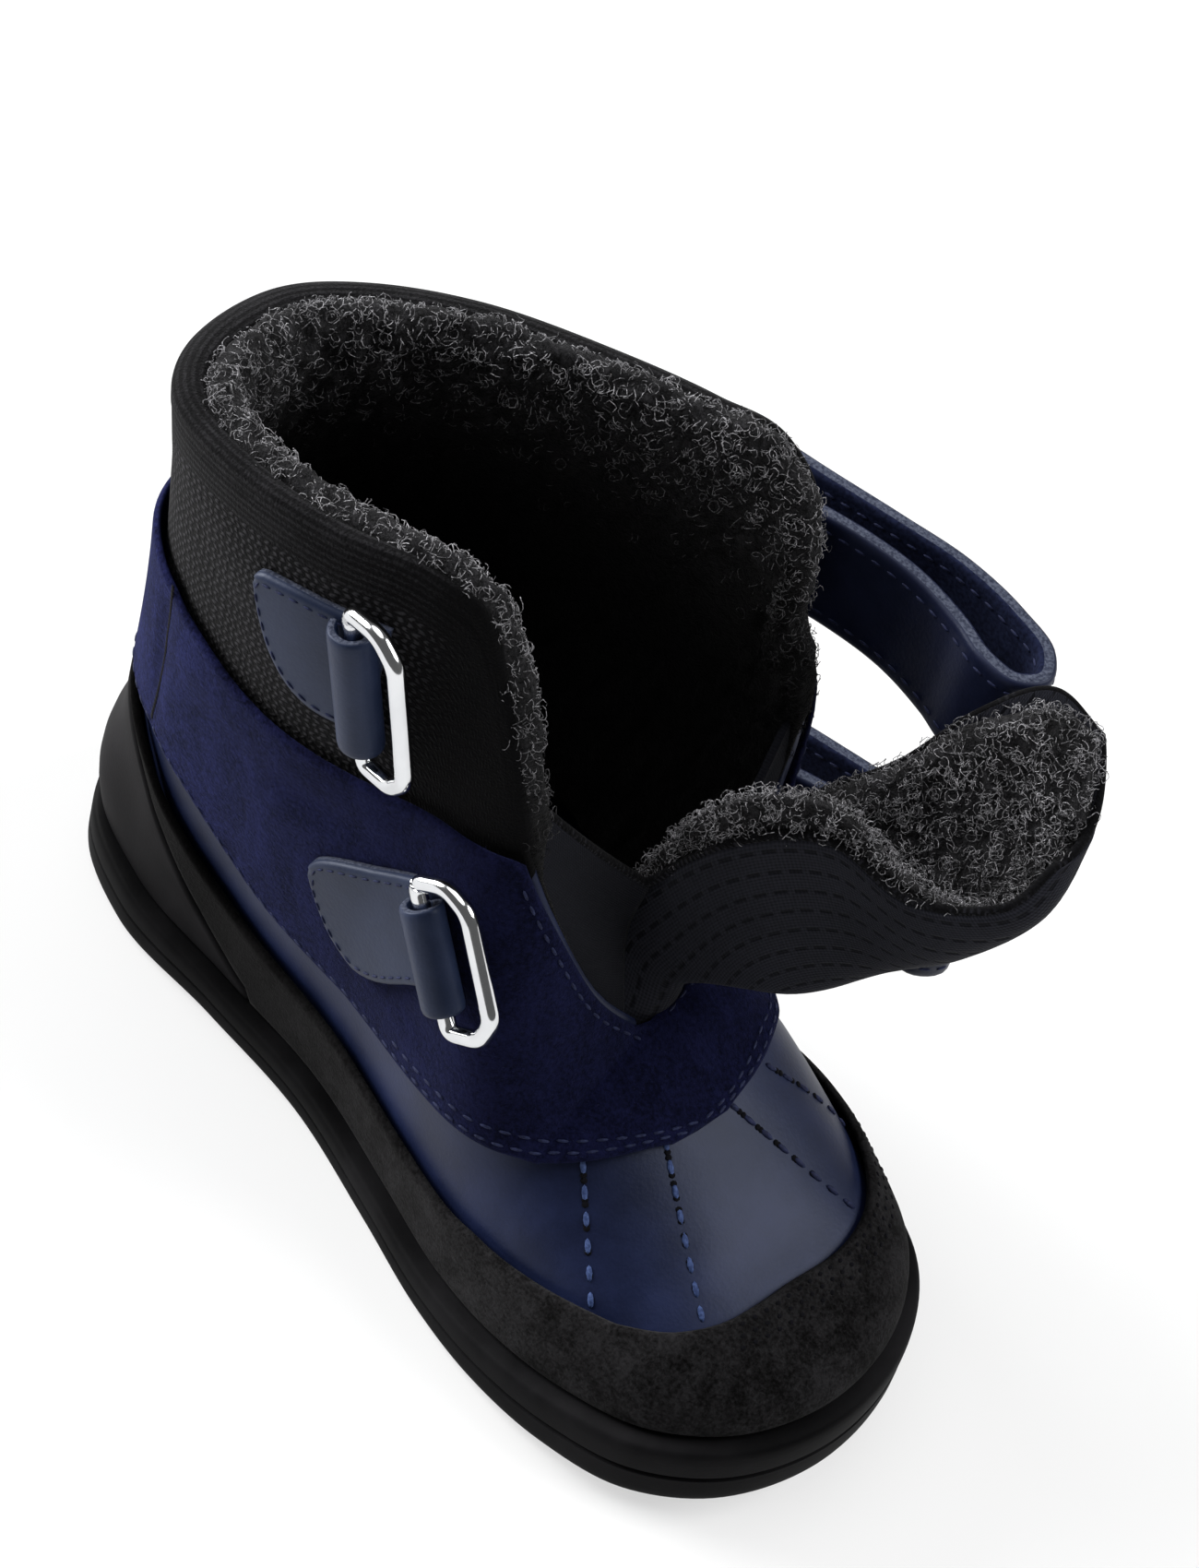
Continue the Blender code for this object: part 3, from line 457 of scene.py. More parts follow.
def rubberFinish(name="blackRubber", dark=(0.0026, 0.0026, 0.0029), light=(0.0105, 0.0102, 0.0112)):
    material, shader, place = startMaterial(name, {"Specular IOR Level": 0.03})
    broad = noise(place, 45.0, 4.0)
    fine = noise(place, 1800.0, 2.0)
    tone = broad.between(0.35, 0.75).tint(dark, light)
    return endMaterial(material, shader, tone, broad * 0.22 + 0.50, (fine + broad, 0.22, 0.00012))


def leatherFinish(name="navyLeather", dark=(0.003, 0.0052, 0.020), light=(0.0088, 0.0142, 0.050), gloss=0.06):
    fixed = {"Coat Roughness": 0.30, "Specular IOR Level": 0.24, "Specular Tint": (0.72, 0.80, 1.0, 1.0)}
    material, shader, place = startMaterial(name, fixed)
    broad = noise(place, 60.0, 5.0, 0.6)
    pores = place.node("ShaderNodeTexVoronoi", {"feature": "F1"}, {"Vector": place, "Scale": 1500.0})
    fine = noise(place, 3200.0, 3.0)
    link(shader, "Coat Weight", broad.between(0.3, 0.7) * gloss + gloss * 0.3)
    tone = (broad * 0.8 + fine * 0.2).between(0.30, 0.72).tint(dark, light)
    rough = broad * 0.16 + (fine * 0.08 + 0.36)
    grain = pores * 0.5 + fine * 0.5 + broad * 0.4
    return endMaterial(material, shader, tone, rough, (grain, 0.16, 0.00022))


def nubuckFinish():
    fixed = {"Sheen Weight": 0.02, "Sheen Roughness": 0.5, "Specular IOR Level": 0.03}
    material, shader, place = startMaterial("blackNubuck", fixed)
    broad = noise(place, 140.0, 6.0, 0.75)
    fine = noise(place, 1700.0, 3.0, 0.7)
    specks = noise(place, 5200.0, 1.0).between(0.70, 0.80)
    # painted shade: the tone darkens from the toe to 0.15 of it towards the heel
    front = place.part(0).between(-0.055, 0.055)
    tone = (broad * 0.55 + fine * 0.45).between(0.36, 0.66) * (front * 0.85 + 0.15)
    tone = tone.tint((0.0012, 0.0011, 0.0011), (0.0190, 0.0185, 0.0198))
    tone = (specks * 0.5).blend(tone, (0.030, 0.029, 0.030, 1.0))
    return endMaterial(material, shader, tone, fine * 0.15 + 0.78, (fine + broad * 0.6, 0.5, 0.00030))


def suedeFinish():
    fixed = {"Sheen Weight": 0.06, "Sheen Roughness": 0.4, "Sheen Tint": (0.35, 0.42, 0.95, 1.0),
             "Specular IOR Level": 0.04}
    material, shader, place = startMaterial("navySuede", fixed)
    stretched = place.node("ShaderNodeMapping", None, {"Vector": place, "Scale": (1.0, 1.0, 0.6)})
    strokes = noise(stretched, 85.0, 6.0, 0.68, 1.2)
    nap = noise(place, 1500.0, 4.0, 0.75)
    flecks = noise(place, 2600.0, 2.0).between(0.66, 0.78)
    # painted shade: the suede darkens towards the toe, to 0.42 of its tone
    front = place.part(0).between(-0.055, 0.010)
    tone = (strokes * 0.42 + nap * 0.58).between(0.34, 0.66) * (1.0 - front * 0.58)
    base = tone.tint((0.0015, 0.0019, 0.0080), (0.0165, 0.0195, 0.080))
    tone = (flecks * 0.25).blend(base, (0.05, 0.056, 0.13, 1.0))
    return endMaterial(material, shader, tone, nap * 0.1 + 0.86, (nap + strokes * 0.6, 0.7, 0.0005))


def knitFinish(name="blackKnit", rib=0.70, row=0.50, light=(0.034, 0.0332, 0.0370), plain=(-16.0, 0.0),
               band=True):
    look = {"slant": 0.9, "wander": 2.6, "band": (-7.0, -5.5), "line": 0.55}
    material, shader, place = startMaterial(name, {"Sheen Weight": 0.03, "Specular IOR Level": 0.05})
    across, up = uvSplit(place)
    wander = noise(place, 320.0, 3.0) * look["wander"]
    slope = up.wave(2 * row) * look["slant"]
    ribs = (across * (1.0 / rib) + slope + wander).math("PINGPONG", 1.0)
    rows = (up * (1.0 / row) + wander * 0.6).math("PINGPONG", 1.0)
    fuzz = noise(place, 2600.0, 3.0)
    broad = noise(place, 80.0, 4.0, 0.65)
    loops = ribs.between(0.25, 0.9) * rows.between(0.1, 0.7)
    if band:
        lines = up.wave(look["line"]).between(0.25, 0.8)
        edge = up.between(*look["band"])
        loops = loops * (1.0 - edge) + lines * fuzz * edge * 0.5
    front = place.part(0).between(*(edge * mm for edge in plain))  # plain and darker towards the throat; the darkening is painted shade
    loops = loops * (1.0 - front * 0.85)
    # painted shade: the knit darkens towards the throat, to 0.4 of its tone
    tone = (loops * 0.50 + fuzz * 0.45 + broad * 0.35) * (1.0 - front * 0.6)
    tone = tone.between(0.30, 0.95).tint((0.0014, 0.0014, 0.0017), light)
    return endMaterial(material, shader, tone, fuzz * 0.2 + 0.75, (loops * 0.7 + fuzz * 0.6, 0.75, 0.00045))


def clothFinish(name="tongueCloth", dash=0.7, light=(0.0175, 0.0182, 0.0250)):
    look = {"row": 1.7, "dash": 1.3, "weave": 0.25}
    material, shader, place = startMaterial(name, {"Sheen Weight": 0.03, "Specular IOR Level": 0.06})
    across, up = uvSplit(place)
    rows = up.wave(look["row"]).between(0.70, 0.92)
    dashes = across.wave(look["dash"]).between(0.30, 0.42)
    mark = rows * dashes * dash
    weave = across.wave(look["weave"]) * 0.5 + up.wave(look["weave"]) * 0.5
    fuzz = noise(place, 1500.0, 3.0)
    broad = noise(place, 60.0, 3.0)
    tone = (weave * 0.4 + fuzz * 0.3 + broad * 0.3) * (1.0 - mark * 0.6)
    tone = tone.between(0.15, 0.75).tint((0.0022, 0.0024, 0.0038), light)
    relief = weave * 0.3 + fuzz * 0.2 - mark
    return endMaterial(material, shader, tone, fuzz * 0.2 + 0.6, (relief, 0.6, 0.0005))


def woolFinish(name, dark, light, fine=620.0, lift=1.0, rise=(78.0, 113.0), contrast=1.0):
    # painted shade: lighter with height towards the rim, black deep inside the boot
    material, shader, place = startMaterial(name, {"Sheen Weight": 0.05, "Specular IOR Level": 0.08})
    curls = noise(place, fine, 5.0, 0.75, 1.6)
    grain = noise(place, fine * 4.0, 2.0)
    lit = place.part(2).between(*(height * mm for height in rise)) ** 1.1
    patch = noise(place, 160.0, 3.0).between(0.3, 0.7) * 0.5 + 0.5
    tone = (curls * 0.75 + grain * 0.25).between(0.35, 0.70) ** contrast * patch * lit
    tone = tone.tint(dark, light)
    return endMaterial(material, shader, tone, grain * 0.1 + 0.85, (curls + grain * 0.4, lift, 0.0012))


def plainFinish(name, dark, light, rough, scale=1800.0, gloss=0.15):
    material, shader, place = startMaterial(name, {"Specular IOR Level": gloss})
    grain = noise(place, scale, 3.0)
    tone = grain.between(0.3, 0.7).tint(dark, light)
    return endMaterial(material, shader, tone, grain * 0.15 + rough, (grain, 0.4, 0.0002))


def chromeFinish():
    material, shader, place = startMaterial("chromeWire", {"Metallic": 1.0})
    smear = noise(place, 160.0, 3.0)
    tone = smear.tint((0.60, 0.61, 0.63), (0.78, 0.79, 0.80))
    return endMaterial(material, shader, tone, smear * 0.08 + 0.08)


tongueRise = (40.0, 84.0)  # heights between which the tongue's wool lightens; below them it is painted shade
finishes = {
    "rubber": rubberFinish(),
    "cupRubber": rubberFinish("heelRubber", (0.0070, 0.0067, 0.0073), (0.0170, 0.0162, 0.0178)),
    "leather": leatherFinish(),
    "strapLeather": leatherFinish("strapLeather", (0.0025, 0.004, 0.015), (0.0075, 0.0105, 0.034), 0.05),
    "tabLeather": leatherFinish("tabLeather", (0.006, 0.0105, 0.028), (0.0165, 0.0245, 0.056), 0.03),
    "nubuck": nubuckFinish(),
    "suede": suedeFinish(),
    "knit": knitFinish(),
    "cloth": clothFinish(),
    # plain cloth for the gussets, its light tone under half the tongue cloth's as painted shade
    "plainCloth": clothFinish("plainCloth", 0.0, (0.0080, 0.0085, 0.0125)),
    "binding": knitFinish("tongueBinding", 0.5, 3.0, (0.014, 0.014, 0.018), (200.0, 300.0), False),
    "wool": woolFinish("charcoalWool", (0.0018, 0.0018, 0.0022), (0.052, 0.051, 0.056)),
    "fibre": woolFinish("woolFibre", (0.0035, 0.0035, 0.0040), (0.80, 0.79, 0.83), 900.0, 0.2, contrast=1.25),
    "tongueWool": woolFinish("tongueWool", (0.0018, 0.0018, 0.0022), (0.052, 0.051, 0.056), rise=tongueRise),
    "tongueFibre": woolFinish("tongueFibre", (0.005, 0.005, 0.0055), (0.76, 0.75, 0.79), 900.0, 0.2,
                              tongueRise, 1.5),
    "rawEdge": plainFinish("rawEdge", (0.016, 0.020, 0.038), (0.075, 0.085, 0.120), 0.85, 2200.0),
    "reverse": plainFinish("strapReverse", (0.003, 0.0045, 0.016), (0.0105, 0.0145, 0.040), 0.85, 1500.0,
                           0.08),
    "thread": plainFinish("navyThread", (0.006, 0.008, 0.028), (0.020, 0.026, 0.070), 0.6),
    "paleThread": plainFinish("paleThread", (0.022, 0.038, 0.110), (0.060, 0.095, 0.225), 0.6),
    # near-black beads for needle holes, and for the painted shadow in the heel seam's gap
    "needleHoleAndGapShade": plainFinish("needleHoleAndGapShade", (0.001, 0.001, 0.002), (0.003, 0.003, 0.005), 0.9),
    "chrome": chromeFinish(),
}
print("finishes made")


# meshes
def addObject(name, mesh, *materials):
    for material in materials:
        mesh.materials.append(material)
    item = bpy.data.objects.new(name, mesh)
    bpy.context.scene.collection.objects.link(item)
    return item


def settle(item):
    graph = bpy.context.evaluated_depsgraph_get()
    graph.update()
    mesh = bpy.data.meshes.new_from_object(item.evaluated_get(graph))
    item.modifiers.clear()
    item.data = mesh
    return item


def thicken(item, thick):
    wall = item.modifiers.new("wall", "SOLIDIFY")
    wall.thickness = thick * mm
    wall.offset = -1.0
    settle(item).data.shade_smooth()
    return item


def sheetMesh(name, grid, closed=False):
    columns, rows = grid.shape[:2]
    index = np.arange(columns * rows).reshape(columns, rows)
    here = index if closed else index[:-1]
    ahead = np.roll(index, -1, axis=0) if closed else index[1:]
    quads = np.stack((here[:, :-1], ahead[:, :-1], ahead[:, 1:], here[:, 1:]), axis=-1).reshape(-1, 4)
    mesh = bpy.data.meshes.new(name)
    mesh.from_pydata((grid.reshape(-1, 3) * mm).tolist(), [], quads.tolist())
    return mesh


def addFlat(mesh, flat):
    layer = mesh.uv_layers.new(name="flat")
    corners = np.empty(len(mesh.loops), int)
    mesh.loops.foreach_get("vertex_index", corners)
    layer.data.foreach_set("uv", flat.reshape(-1, 2)[corners].astype(np.float32).ravel())


def setFuzz(mesh, values):
    layer = mesh.attributes.new("fuzz", "FLOAT", "POINT")
    layer.data.foreach_set("value", values.astype(np.float32).ravel())


def weld(mesh, distance=0.02):
    work = bmesh.new()
    work.from_mesh(mesh)
    bmesh.ops.remove_doubles(work, verts=work.verts, dist=distance * mm)
    work.to_mesh(mesh)
    work.free()
    mesh.shade_smooth()


def register(item, body, replaced=()):
    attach(item, body)
    if replaced:
        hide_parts(*replaced)
    return item


def shellObject(name, lower, upper, materials, flat=None, edgeSlot=0, lowerSlot=0, fuzz=None):
    # a closed shell between two grids: upper faces out, lower faces the wall
    columns, rows = upper.shape[:2]
    count = columns * rows
    index = np.arange(count).reshape(columns, rows)
    top = np.stack((index[:-1, :-1], index[1:, :-1], index[1:, 1:], index[:-1, 1:]), axis=-1).reshape(-1, 4)
    under = top[:, ::-1] + count
    border = np.concatenate((index[:, 0], index[-1, 1:], index[::-1, -1][1:], index[0, ::-1][1:-1]))
    ahead = np.roll(border, -1)
    rim = np.stack((border, border + count, ahead + count, ahead), axis=-1)
    mesh = bpy.data.meshes.new(name)
    points = np.concatenate((upper.reshape(-1, 3), lower.reshape(-1, 3))) * mm
    mesh.from_pydata(points.tolist(), [], np.vstack((top, under, rim)).tolist())
    slots = np.concatenate((np.zeros(len(top)), np.full(len(under), lowerSlot), np.full(len(rim), edgeSlot)))
    mesh.polygons.foreach_set("material_index", slots.astype(np.int32))
    if flat is not None:
        addFlat(mesh, np.stack((flat, flat)))
    if fuzz is not None:
        setFuzz(mesh, fuzz)
    weld(mesh)
    return addObject(name, mesh, *materials)


def gridNormal(grid):
    across = np.gradient(grid, axis=0)
    up = np.gradient(grid, axis=1)
    return unit(np.cross(across, up))


def orientedShell(name, lower, upper, normal, materials, flat=None, edgeSlot=0, fuzz=None):
    # turned so that upper faces the way of the normals
    if (gridNormal(upper) * normal).sum() < 0:
        lower, upper = lower[:, ::-1], upper[:, ::-1]
        flat = None if flat is None else flat[:, ::-1]
        fuzz = None if fuzz is None else fuzz[:, :, ::-1]
    return shellObject(name, lower, upper, materials, flat, edgeSlot, fuzz=fuzz)


def softRows(count):
    return (1 - np.cos(np.linspace(0.0, math.pi, count))) / 2


def flatMap(grid):
    up = runLength(grid, 1)
    across = runLength(grid[:, grid.shape[1] // 2])
    return np.stack((np.broadcast_to(across[:, None], up.shape), up), axis=-1)


def edgeFall(grid, radius, least=0.0, openTop=None):
    # 1 inside a panel, easing to least over a radius at its edge; openTop marks columns that join another
    below, behind = runLength(grid, 1), runLength(grid)
    above = below[:, -1:] - below
    if openTop is not None:
        above = np.where(openTop[:, None], radius, above)
    distance = np.minimum(np.minimum(below, above), np.minimum(behind, behind[-1:] - behind))
    short = np.clip(1 - distance / radius, 0.0, 1.0)
    return least + (1 - least) * np.sqrt(np.clip(1 - short ** 2, 0.0, 1.0))


# creases pressed into the panels: start, end, width, depth (positive is a trough)
creases = (
    ((34.0, -24.0, 30.0), (36.0, -8.0, 38.0), 2.4, 0.63),
    ((40.0, 24.0, 30.0), (38.0, 10.0, 37.0), 2.4, 0.56),
    ((2.0, -26.0, 44.0), (22.0, -18.0, 46.0), 3.0, 0.84),
    ((8.0, -24.0, 52.0), (24.0, -12.0, 53.0), 3.0, -0.63),
    ((-30.0, -27.0, 66.0), (-6.0, -25.0, 70.0), 4.0, 0.77),
    ((-50.0, -27.0, 72.0), (-30.0, -28.0, 76.0), 4.5, -0.56),
    ((-58.0, 20.0, 70.0), (-36.0, 27.0, 66.0), 4.0, 0.77),
    ((-24.0, 33.0, 58.0), (0.0, 37.0, 62.0), 4.0, 0.70),
    ((-60.0, -20.0, 104.0), (-46.0, -30.0, 101.0), 4.0, 0.70),
    ((-49.4, -29.5, 88.0), (-55.0, -25.5, 48.0), 1.8, 0.77),
    ((-40.0, 26.0, 102.0), (-20.0, 34.0, 100.0), 4.0, 0.77),
)


def pressed(points):
    depth = np.zeros(points.shape[:-1])
    for start, end, width, amount in creases:
        start, end = np.array(start), np.array(end)
        way = end - start
        t = np.clip(((points - start) @ way) / (way @ way), 0.0, 1.0)
        distance = np.linalg.norm(points - (start + t[..., None] * way), axis=-1)
        taper = np.sin(np.pi * np.clip(t, 0.08, 0.92))
        depth += amount * taper * np.exp(-(distance / width) ** 2)
    return depth


panelWall = 1.1  # thickness of the overlays' sheets


def panel(name, along, low, high, rows, gap, thick, radius, material, joined=False):
    # an overlay on the upper with a rounded edge; thick may vary over the grid
    spread = low[:, None] + (high - low)[:, None] * softRows(rows)
    skin, normal = wallGrid(along[:, None], spread)
    level = gap + thick * edgeFall(skin, radius, 0.35, onRidge(along) if joined else None) - pressed(skin)
    mesh = sheetMesh(name, skin + normal * level[..., None])
    addFlat(mesh, flatMap(skin))
    weld(mesh)
    return thicken(addObject(name, mesh, material), panelWall)


def buildSole():
    sole = {
        # the side from the ground up: inset, share of the rim's height
        "profile": ((4.5, 0.0), (2.4, 0.004), (1.3, 0.02), (0.6, 0.05), (0.25, 0.10), (0.08, 0.16),
                    (0.0, 0.24), (0.03, 0.40), (0.10, 0.485), (0.35, 0.502), (0.85, 0.512), (1.0, 0.525),
                    (0.85, 0.538), (0.35, 0.548), (0.15, 0.565), (0.12, 0.66), (0.18, 0.80), (0.32, 0.91),
                    (0.6, 0.965), (1.1, 0.99), (2.2, 1.0)),
        "around": 260, "treadPitch": 12.0, "treadWidth": 3.0, "treadDepth": 1.4, "treadEdge": 9.0,
        "treadFrom": -66.0, "treadTo": 66.0, "gap": 0.4, "sharp": 38.0,
    }
    half = sole["around"] // 2
    inner = np.linspace(0.0, 1.0, half + 1)
    along = np.concatenate((inner, 1.0 + inner[1:-1]))
    onLine, _ = soleOutline(along)
    ground, rim = groundLine(onLine[:, 0]), rimHeight(onLine[:, 0])
    rings = [soleRing(along, inset, ground + share * rim) for inset, share in sole["profile"]]
    inset = last["featherInset"] - sole["gap"]
    rings += [soleRing(along, inset, ground + height) for height in (rim, last["cupFloor"])]
    work = bmesh.new()
    loops = [[work.verts.new(Vector(point) * mm) for point in ring] for ring in rings]
    count = len(along)
    for lower, upper in zip(loops, loops[1:]):
        for here in range(count):
            after = (here + 1) % count
            work.faces.new((lower[here], lower[after], upper[after], upper[here]))
    for loop, turned in ((loops[0], True), (loops[-1], False)):
        for rung in range(count // 2):
            corners = (rung, rung + 1, (count - rung - 1) % count, (count - rung) % count)
            face = [loop[corner] for corner in dict.fromkeys(corners)]
            work.faces.new(face[::-1] if turned else face)
    mesh = bpy.data.meshes.new("outsoleRubber")
    work.to_mesh(mesh)
    work.free()
    outsole = addObject("outsoleRubber", mesh, finishes["rubber"])
    edge, _ = soleOutline(np.linspace(0.0, 2.0, 400))
    cutters = []
    for x in np.arange(sole["treadFrom"], sole["treadTo"] + 1.0, sole["treadPitch"]):
        near, far = (line[np.argmin(np.abs(line[:, 0] - x)), 1] for line in np.split(edge, 2))
        box = bmesh.new()
        bmesh.ops.create_cube(box, size=1.0)
        size = (sole["treadWidth"], far - near - 2 * sole["treadEdge"], 2 * sole["treadDepth"])
        bmesh.ops.scale(box, vec=Vector(size) * mm, verts=box.verts)
        middle = Vector((x, (near + far) / 2, float(groundLine(x))))
        bmesh.ops.translate(box, vec=middle * mm, verts=box.verts)
        groove = bpy.data.meshes.new("groove")
        box.to_mesh(groove)
        box.free()
        cutters.append(addObject("groove", groove))
        cut = outsole.modifiers.new("groove", "BOOLEAN")
        cut.operation = "DIFFERENCE"
        cut.solver = "EXACT"
        cut.object = cutters[-1]
    settle(outsole)
    for cutter in cutters:
        bpy.data.objects.remove(cutter, do_unlink=True)
    outsole.data.shade_smooth()
    outsole.data.set_sharp_from_angle(angle=math.radians(sole["sharp"]))
    register(outsole, "shoe", ("outsole",))
    print("sole made")


def buildInsole():
    insole = {"inset": 8.8, "edge": ((0.8, 0.0), (0.1, 0.5), (0.0, 1.2), (0.0, 2.2), (0.3, 2.7), (1.0, 3.0)),
              "seat": 0.3, "around": 160, "rings": 9}
    along = np.linspace(0.0, 2.0, insole["around"], endpoint=False)
    onLine, _ = soleOutline(along)
    floor = groundLine(onLine[:, 0]) + last["cupFloor"] + insole["seat"]
    rows = [soleRing(along, insole["inset"] + inset, floor + height) for inset, height in insole["edge"]]
    rim, toMiddle = rows[-1], np.array((1.0, 0.0, 1.0))
    rows += [rim + (rim * toMiddle - rim) * t for t in np.linspace(0.0, 1.0, insole["rings"])[1:]]
    rows = [rows[0] * toMiddle] + rows
    mesh = sheetMesh("insoleFelt", np.stack(rows, axis=1), closed=True)
    weld(mesh)
    register(addObject("insoleFelt", mesh, finishes["wool"]), "shoe", ("insole",))
    print("insole made")


def upperStations(collar=70, ridge=20, toe=30):
    sides = []
    for throat in (innerThroat, outerThroat):
        end = throat + last["ridgeShare"]
        sides.append(np.concatenate((np.linspace(0.0, throat, collar + 1),
                                     np.linspace(throat, end, ridge + 1)[1:],
                                     np.linspace(end, 1.0, toe + 1)[1:])))
    return np.concatenate((sides[0], 2.0 - sides[1][::-1][1:]))


overlays = {
    # top lines: share of the side, way up the wall from the sole
    "counterTop": ((0.0, 39.0), (0.07, 39.0), (0.11, 38.0), (0.15, 33.8), (0.195, 27.3), (0.24, 19.0),
                   (0.285, 10.5), (0.335, 3.5), (0.36, 1.5)),
    "randTop": ((0.0, 41.0), (0.13, 38.2), (0.15, 36.0), (0.175, 33.0), (0.20, 29.6), (0.25, 24.2),
                (0.30, 19.0), (0.40, 14.2), (0.50, 12.6), (0.60, 12.9), (0.70, 13.5), (0.78, 14.0),
                (0.86, 15.4), (0.93, 17.3), (1.0, 17.9)),
    "randStart": 0.13,
    # the suede's lower and upper lines: x, height
    "suedeLow": ((-80.0, 51.0), (-72.0, 51.0), (-62.0, 49.0), (-47.0, 44.5), (-35.0, 37.3), (-24.0, 33.0),
                 (-10.0, 32.0), (4.0, 33.0), (18.0, 35.0), (28.0, 35.0), (36.0, 33.0), (41.0, 31.0)),
    "knitLine": ((-80.0, 84.5), (-68.0, 86.5), (-61.0, 88.5), (-48.0, 84.0), (-34.0, 79.5), (-20.0, 78.5),
                 (-6.0, 80.0), (10.0, 82.5)),
    # the suede's round tip in plan: y, x
    "suedeTipLine": ((-34.0, 20.0), (-28.0, 26.5), (-22.0, 32.0), (-16.0, 36.4), (-9.0, 39.6), (0.0, 40.9),
                     (8.6, 40.0), (15.8, 37.2), (21.0, 34.0), (26.0, 31.6), (32.0, 30.0), (40.0, 29.0)),
    "gap": 0.4, "suedeGap": 0.7, "randThick": 1.8, "suedeThick": 1.4,
    # share of the way up, thickness
    "counterThick": ((0.0, 3.4), (0.15, 4.6), (0.3, 4.3), (0.45, 3.0), (0.6, 2.0), (1.0, 1.6)),
    "counterFade": (0.07, 0.24), "stayHalf": 0.032, "staySeam": 0.004, "suedeTip": 0.555, "edgeMargin": 1.0,
    # columns, rows, radius of the edge
    "rand": (220, 16, 1.0), "counter": (120, 18, 0.9), "suede": (90, 34, 1.3), "stay": (14, 24, 1.2),
    "tipColumns": 16, "tipRound": 6.0, "smooth": (4.0, 2.0),
}
tipShare = overlays["suedeTip"] * last["ridgeShare"]
suedeTop = overlays["suedeGap"] + overlays["suedeThick"]


def counterLine(along):
    return readHeld(overlays["counterTop"], sideShare(along))


def buildUpper():
    upper = {"rows": 44, "skin": 1.3, "skirt": 4.9, "knitTuck": 5.0, "knitFront": 16.0}
    along = upperStations()
    shares = np.linspace(0.0, 1.0, upper["rows"])
    skin, normal = wallGrid(along[:, None], np.tile(shares, (len(along), 1)))
    outer = skin - normal * pressed(skin)[..., None] * ease(shares, 0.0, 0.2)[None, :, None]
    onLine, _ = soleOutline(along)
    skirt = outer[:, :1].copy()
    skirt[:, 0, 2] = groundLine(onLine[:, 0]) + upper["skirt"]
    outer = np.concatenate((skirt, outer), axis=1)
    mesh = sheetMesh("upperShell", outer)
    flat = flatMap(outer)
    flat[..., 1] -= flat[:, -1:, 1]
    addFlat(mesh, flat)
    x, _, z = outer.reshape(-1, 3).T
    above = (z > readHeld(overlays["knitLine"], x) - upper["knitTuck"]) & (x < upper["knitFront"])
    slots = [int(above[list(face.vertices)].all()) for face in mesh.polygons]
    mesh.polygons.foreach_set("material_index", slots)
    weld(mesh)
    shell = addObject("upperShell", mesh, finishes["leather"], finishes["knit"])
    register(thicken(shell, upper["skin"]), "shoe", ("upper",))
    print("upper made")


def buildPanels():
    gap = overlays["gap"]
    columns, rows, radius = overlays["rand"]
    along = np.linspace(overlays["randStart"], 2.0 - overlays["randStart"], columns)
    position = sideShare(along)
    foot = np.where(position < overlays["counterTop"][-1][0], counterLine(along) + 2 * gap, gap)
    low = shareAtGirth(along, foot)
    high = smoothLine(shareAtGirth(along, readHeld(overlays["randTop"], position)), overlays["smooth"][0])
    rand = panel("toeRand", along, low, high, rows, gap, overlays["randThick"], radius, finishes["nubuck"])
    register(rand, "shoe", ("rand",))

    columns, rows, radius = overlays["counter"]
    end = overlays["counterTop"][-1][0]
    along = np.linspace(-end, end, columns)
    low = shareAtGirth(along, np.full(len(along), gap))
    high = shareAtGirth(along, counterLine(along))
    profile = readHeld(overlays["counterThick"], softRows(rows))
    fade = ease(sideShare(along), *overlays["counterFade"])[:, None]
    thick = profile + (overlays["randThick"] - profile) * fade
    cup = panel("heelCup", along, low, high, rows, gap, thick, radius, finishes["cupRubber"])
    register(cup, "shoe", ("heel_counter",))

    columns, rows, radius = overlays["suede"]
    start = overlays["stayHalf"] + overlays["staySeam"]
    inner, outer = (np.concatenate((np.linspace(start, throat, columns)[:-1],
                                    np.linspace(throat, throat + tipShare, overlays["tipColumns"])))
                    for throat in (innerThroat, outerThroat))
    along = np.concatenate((inner, 2.0 - outer[::-1]))
    low, high = suedeLimits(along)
    suede = panel("suedeQuarter", along, low, high, rows, overlays["suedeGap"], overlays["suedeThick"],
                  radius, finishes["suede"], joined=True)
    register(suede, "shoe", ("suede_quarter",))

    columns, rows, radius = overlays["stay"]
    along = np.linspace(-overlays["stayHalf"], overlays["stayHalf"], columns)
    low = shareAtGirth(along, counterLine(along) + 2 * gap)
    high = shareAtHeight(along, overlays["knitLine"])
    stay = panel("heelStay", along, low, high, rows, gap, overlays["suedeThick"], radius, finishes["suede"])
    register(stay, "shoe", ("backstay",))
    print("panels made")


def suedeFoot(along):
    # where a rib passes from the vamp into the suede: over the side line and behind the round tip
    shares, points = ribSamples(along, 240)
    result = []
    for rib in points:
        over = rib[:, 2] - readHeld(overlays["suedeLow"], rib[:, 0])
        behind = readHeld(overlays["suedeTipLine"], rib[:, 1]) - rib[:, 0]
        both = (over + behind - np.sqrt((over - behind) ** 2 + overlays["tipRound"])) / 2
        outside = np.flatnonzero(both < 0)
        first = outside[-1] if len(outside) else 0
        first = min(first, len(shares) - 2)
        result.append(np.interp(0.0, both[first:first + 2], shares[first:first + 2]))
    return smoothLine(np.array(result), overlays["smooth"][1])


def smoothLine(values, width):
    reach = int(3 * width)
    weights = np.exp(-0.5 * (np.arange(-reach, reach + 1) / width) ** 2)
    padded = np.pad(values, reach, mode="reflect", reflect_type="odd")
    return np.convolve(padded, weights / weights.sum(), mode="valid")


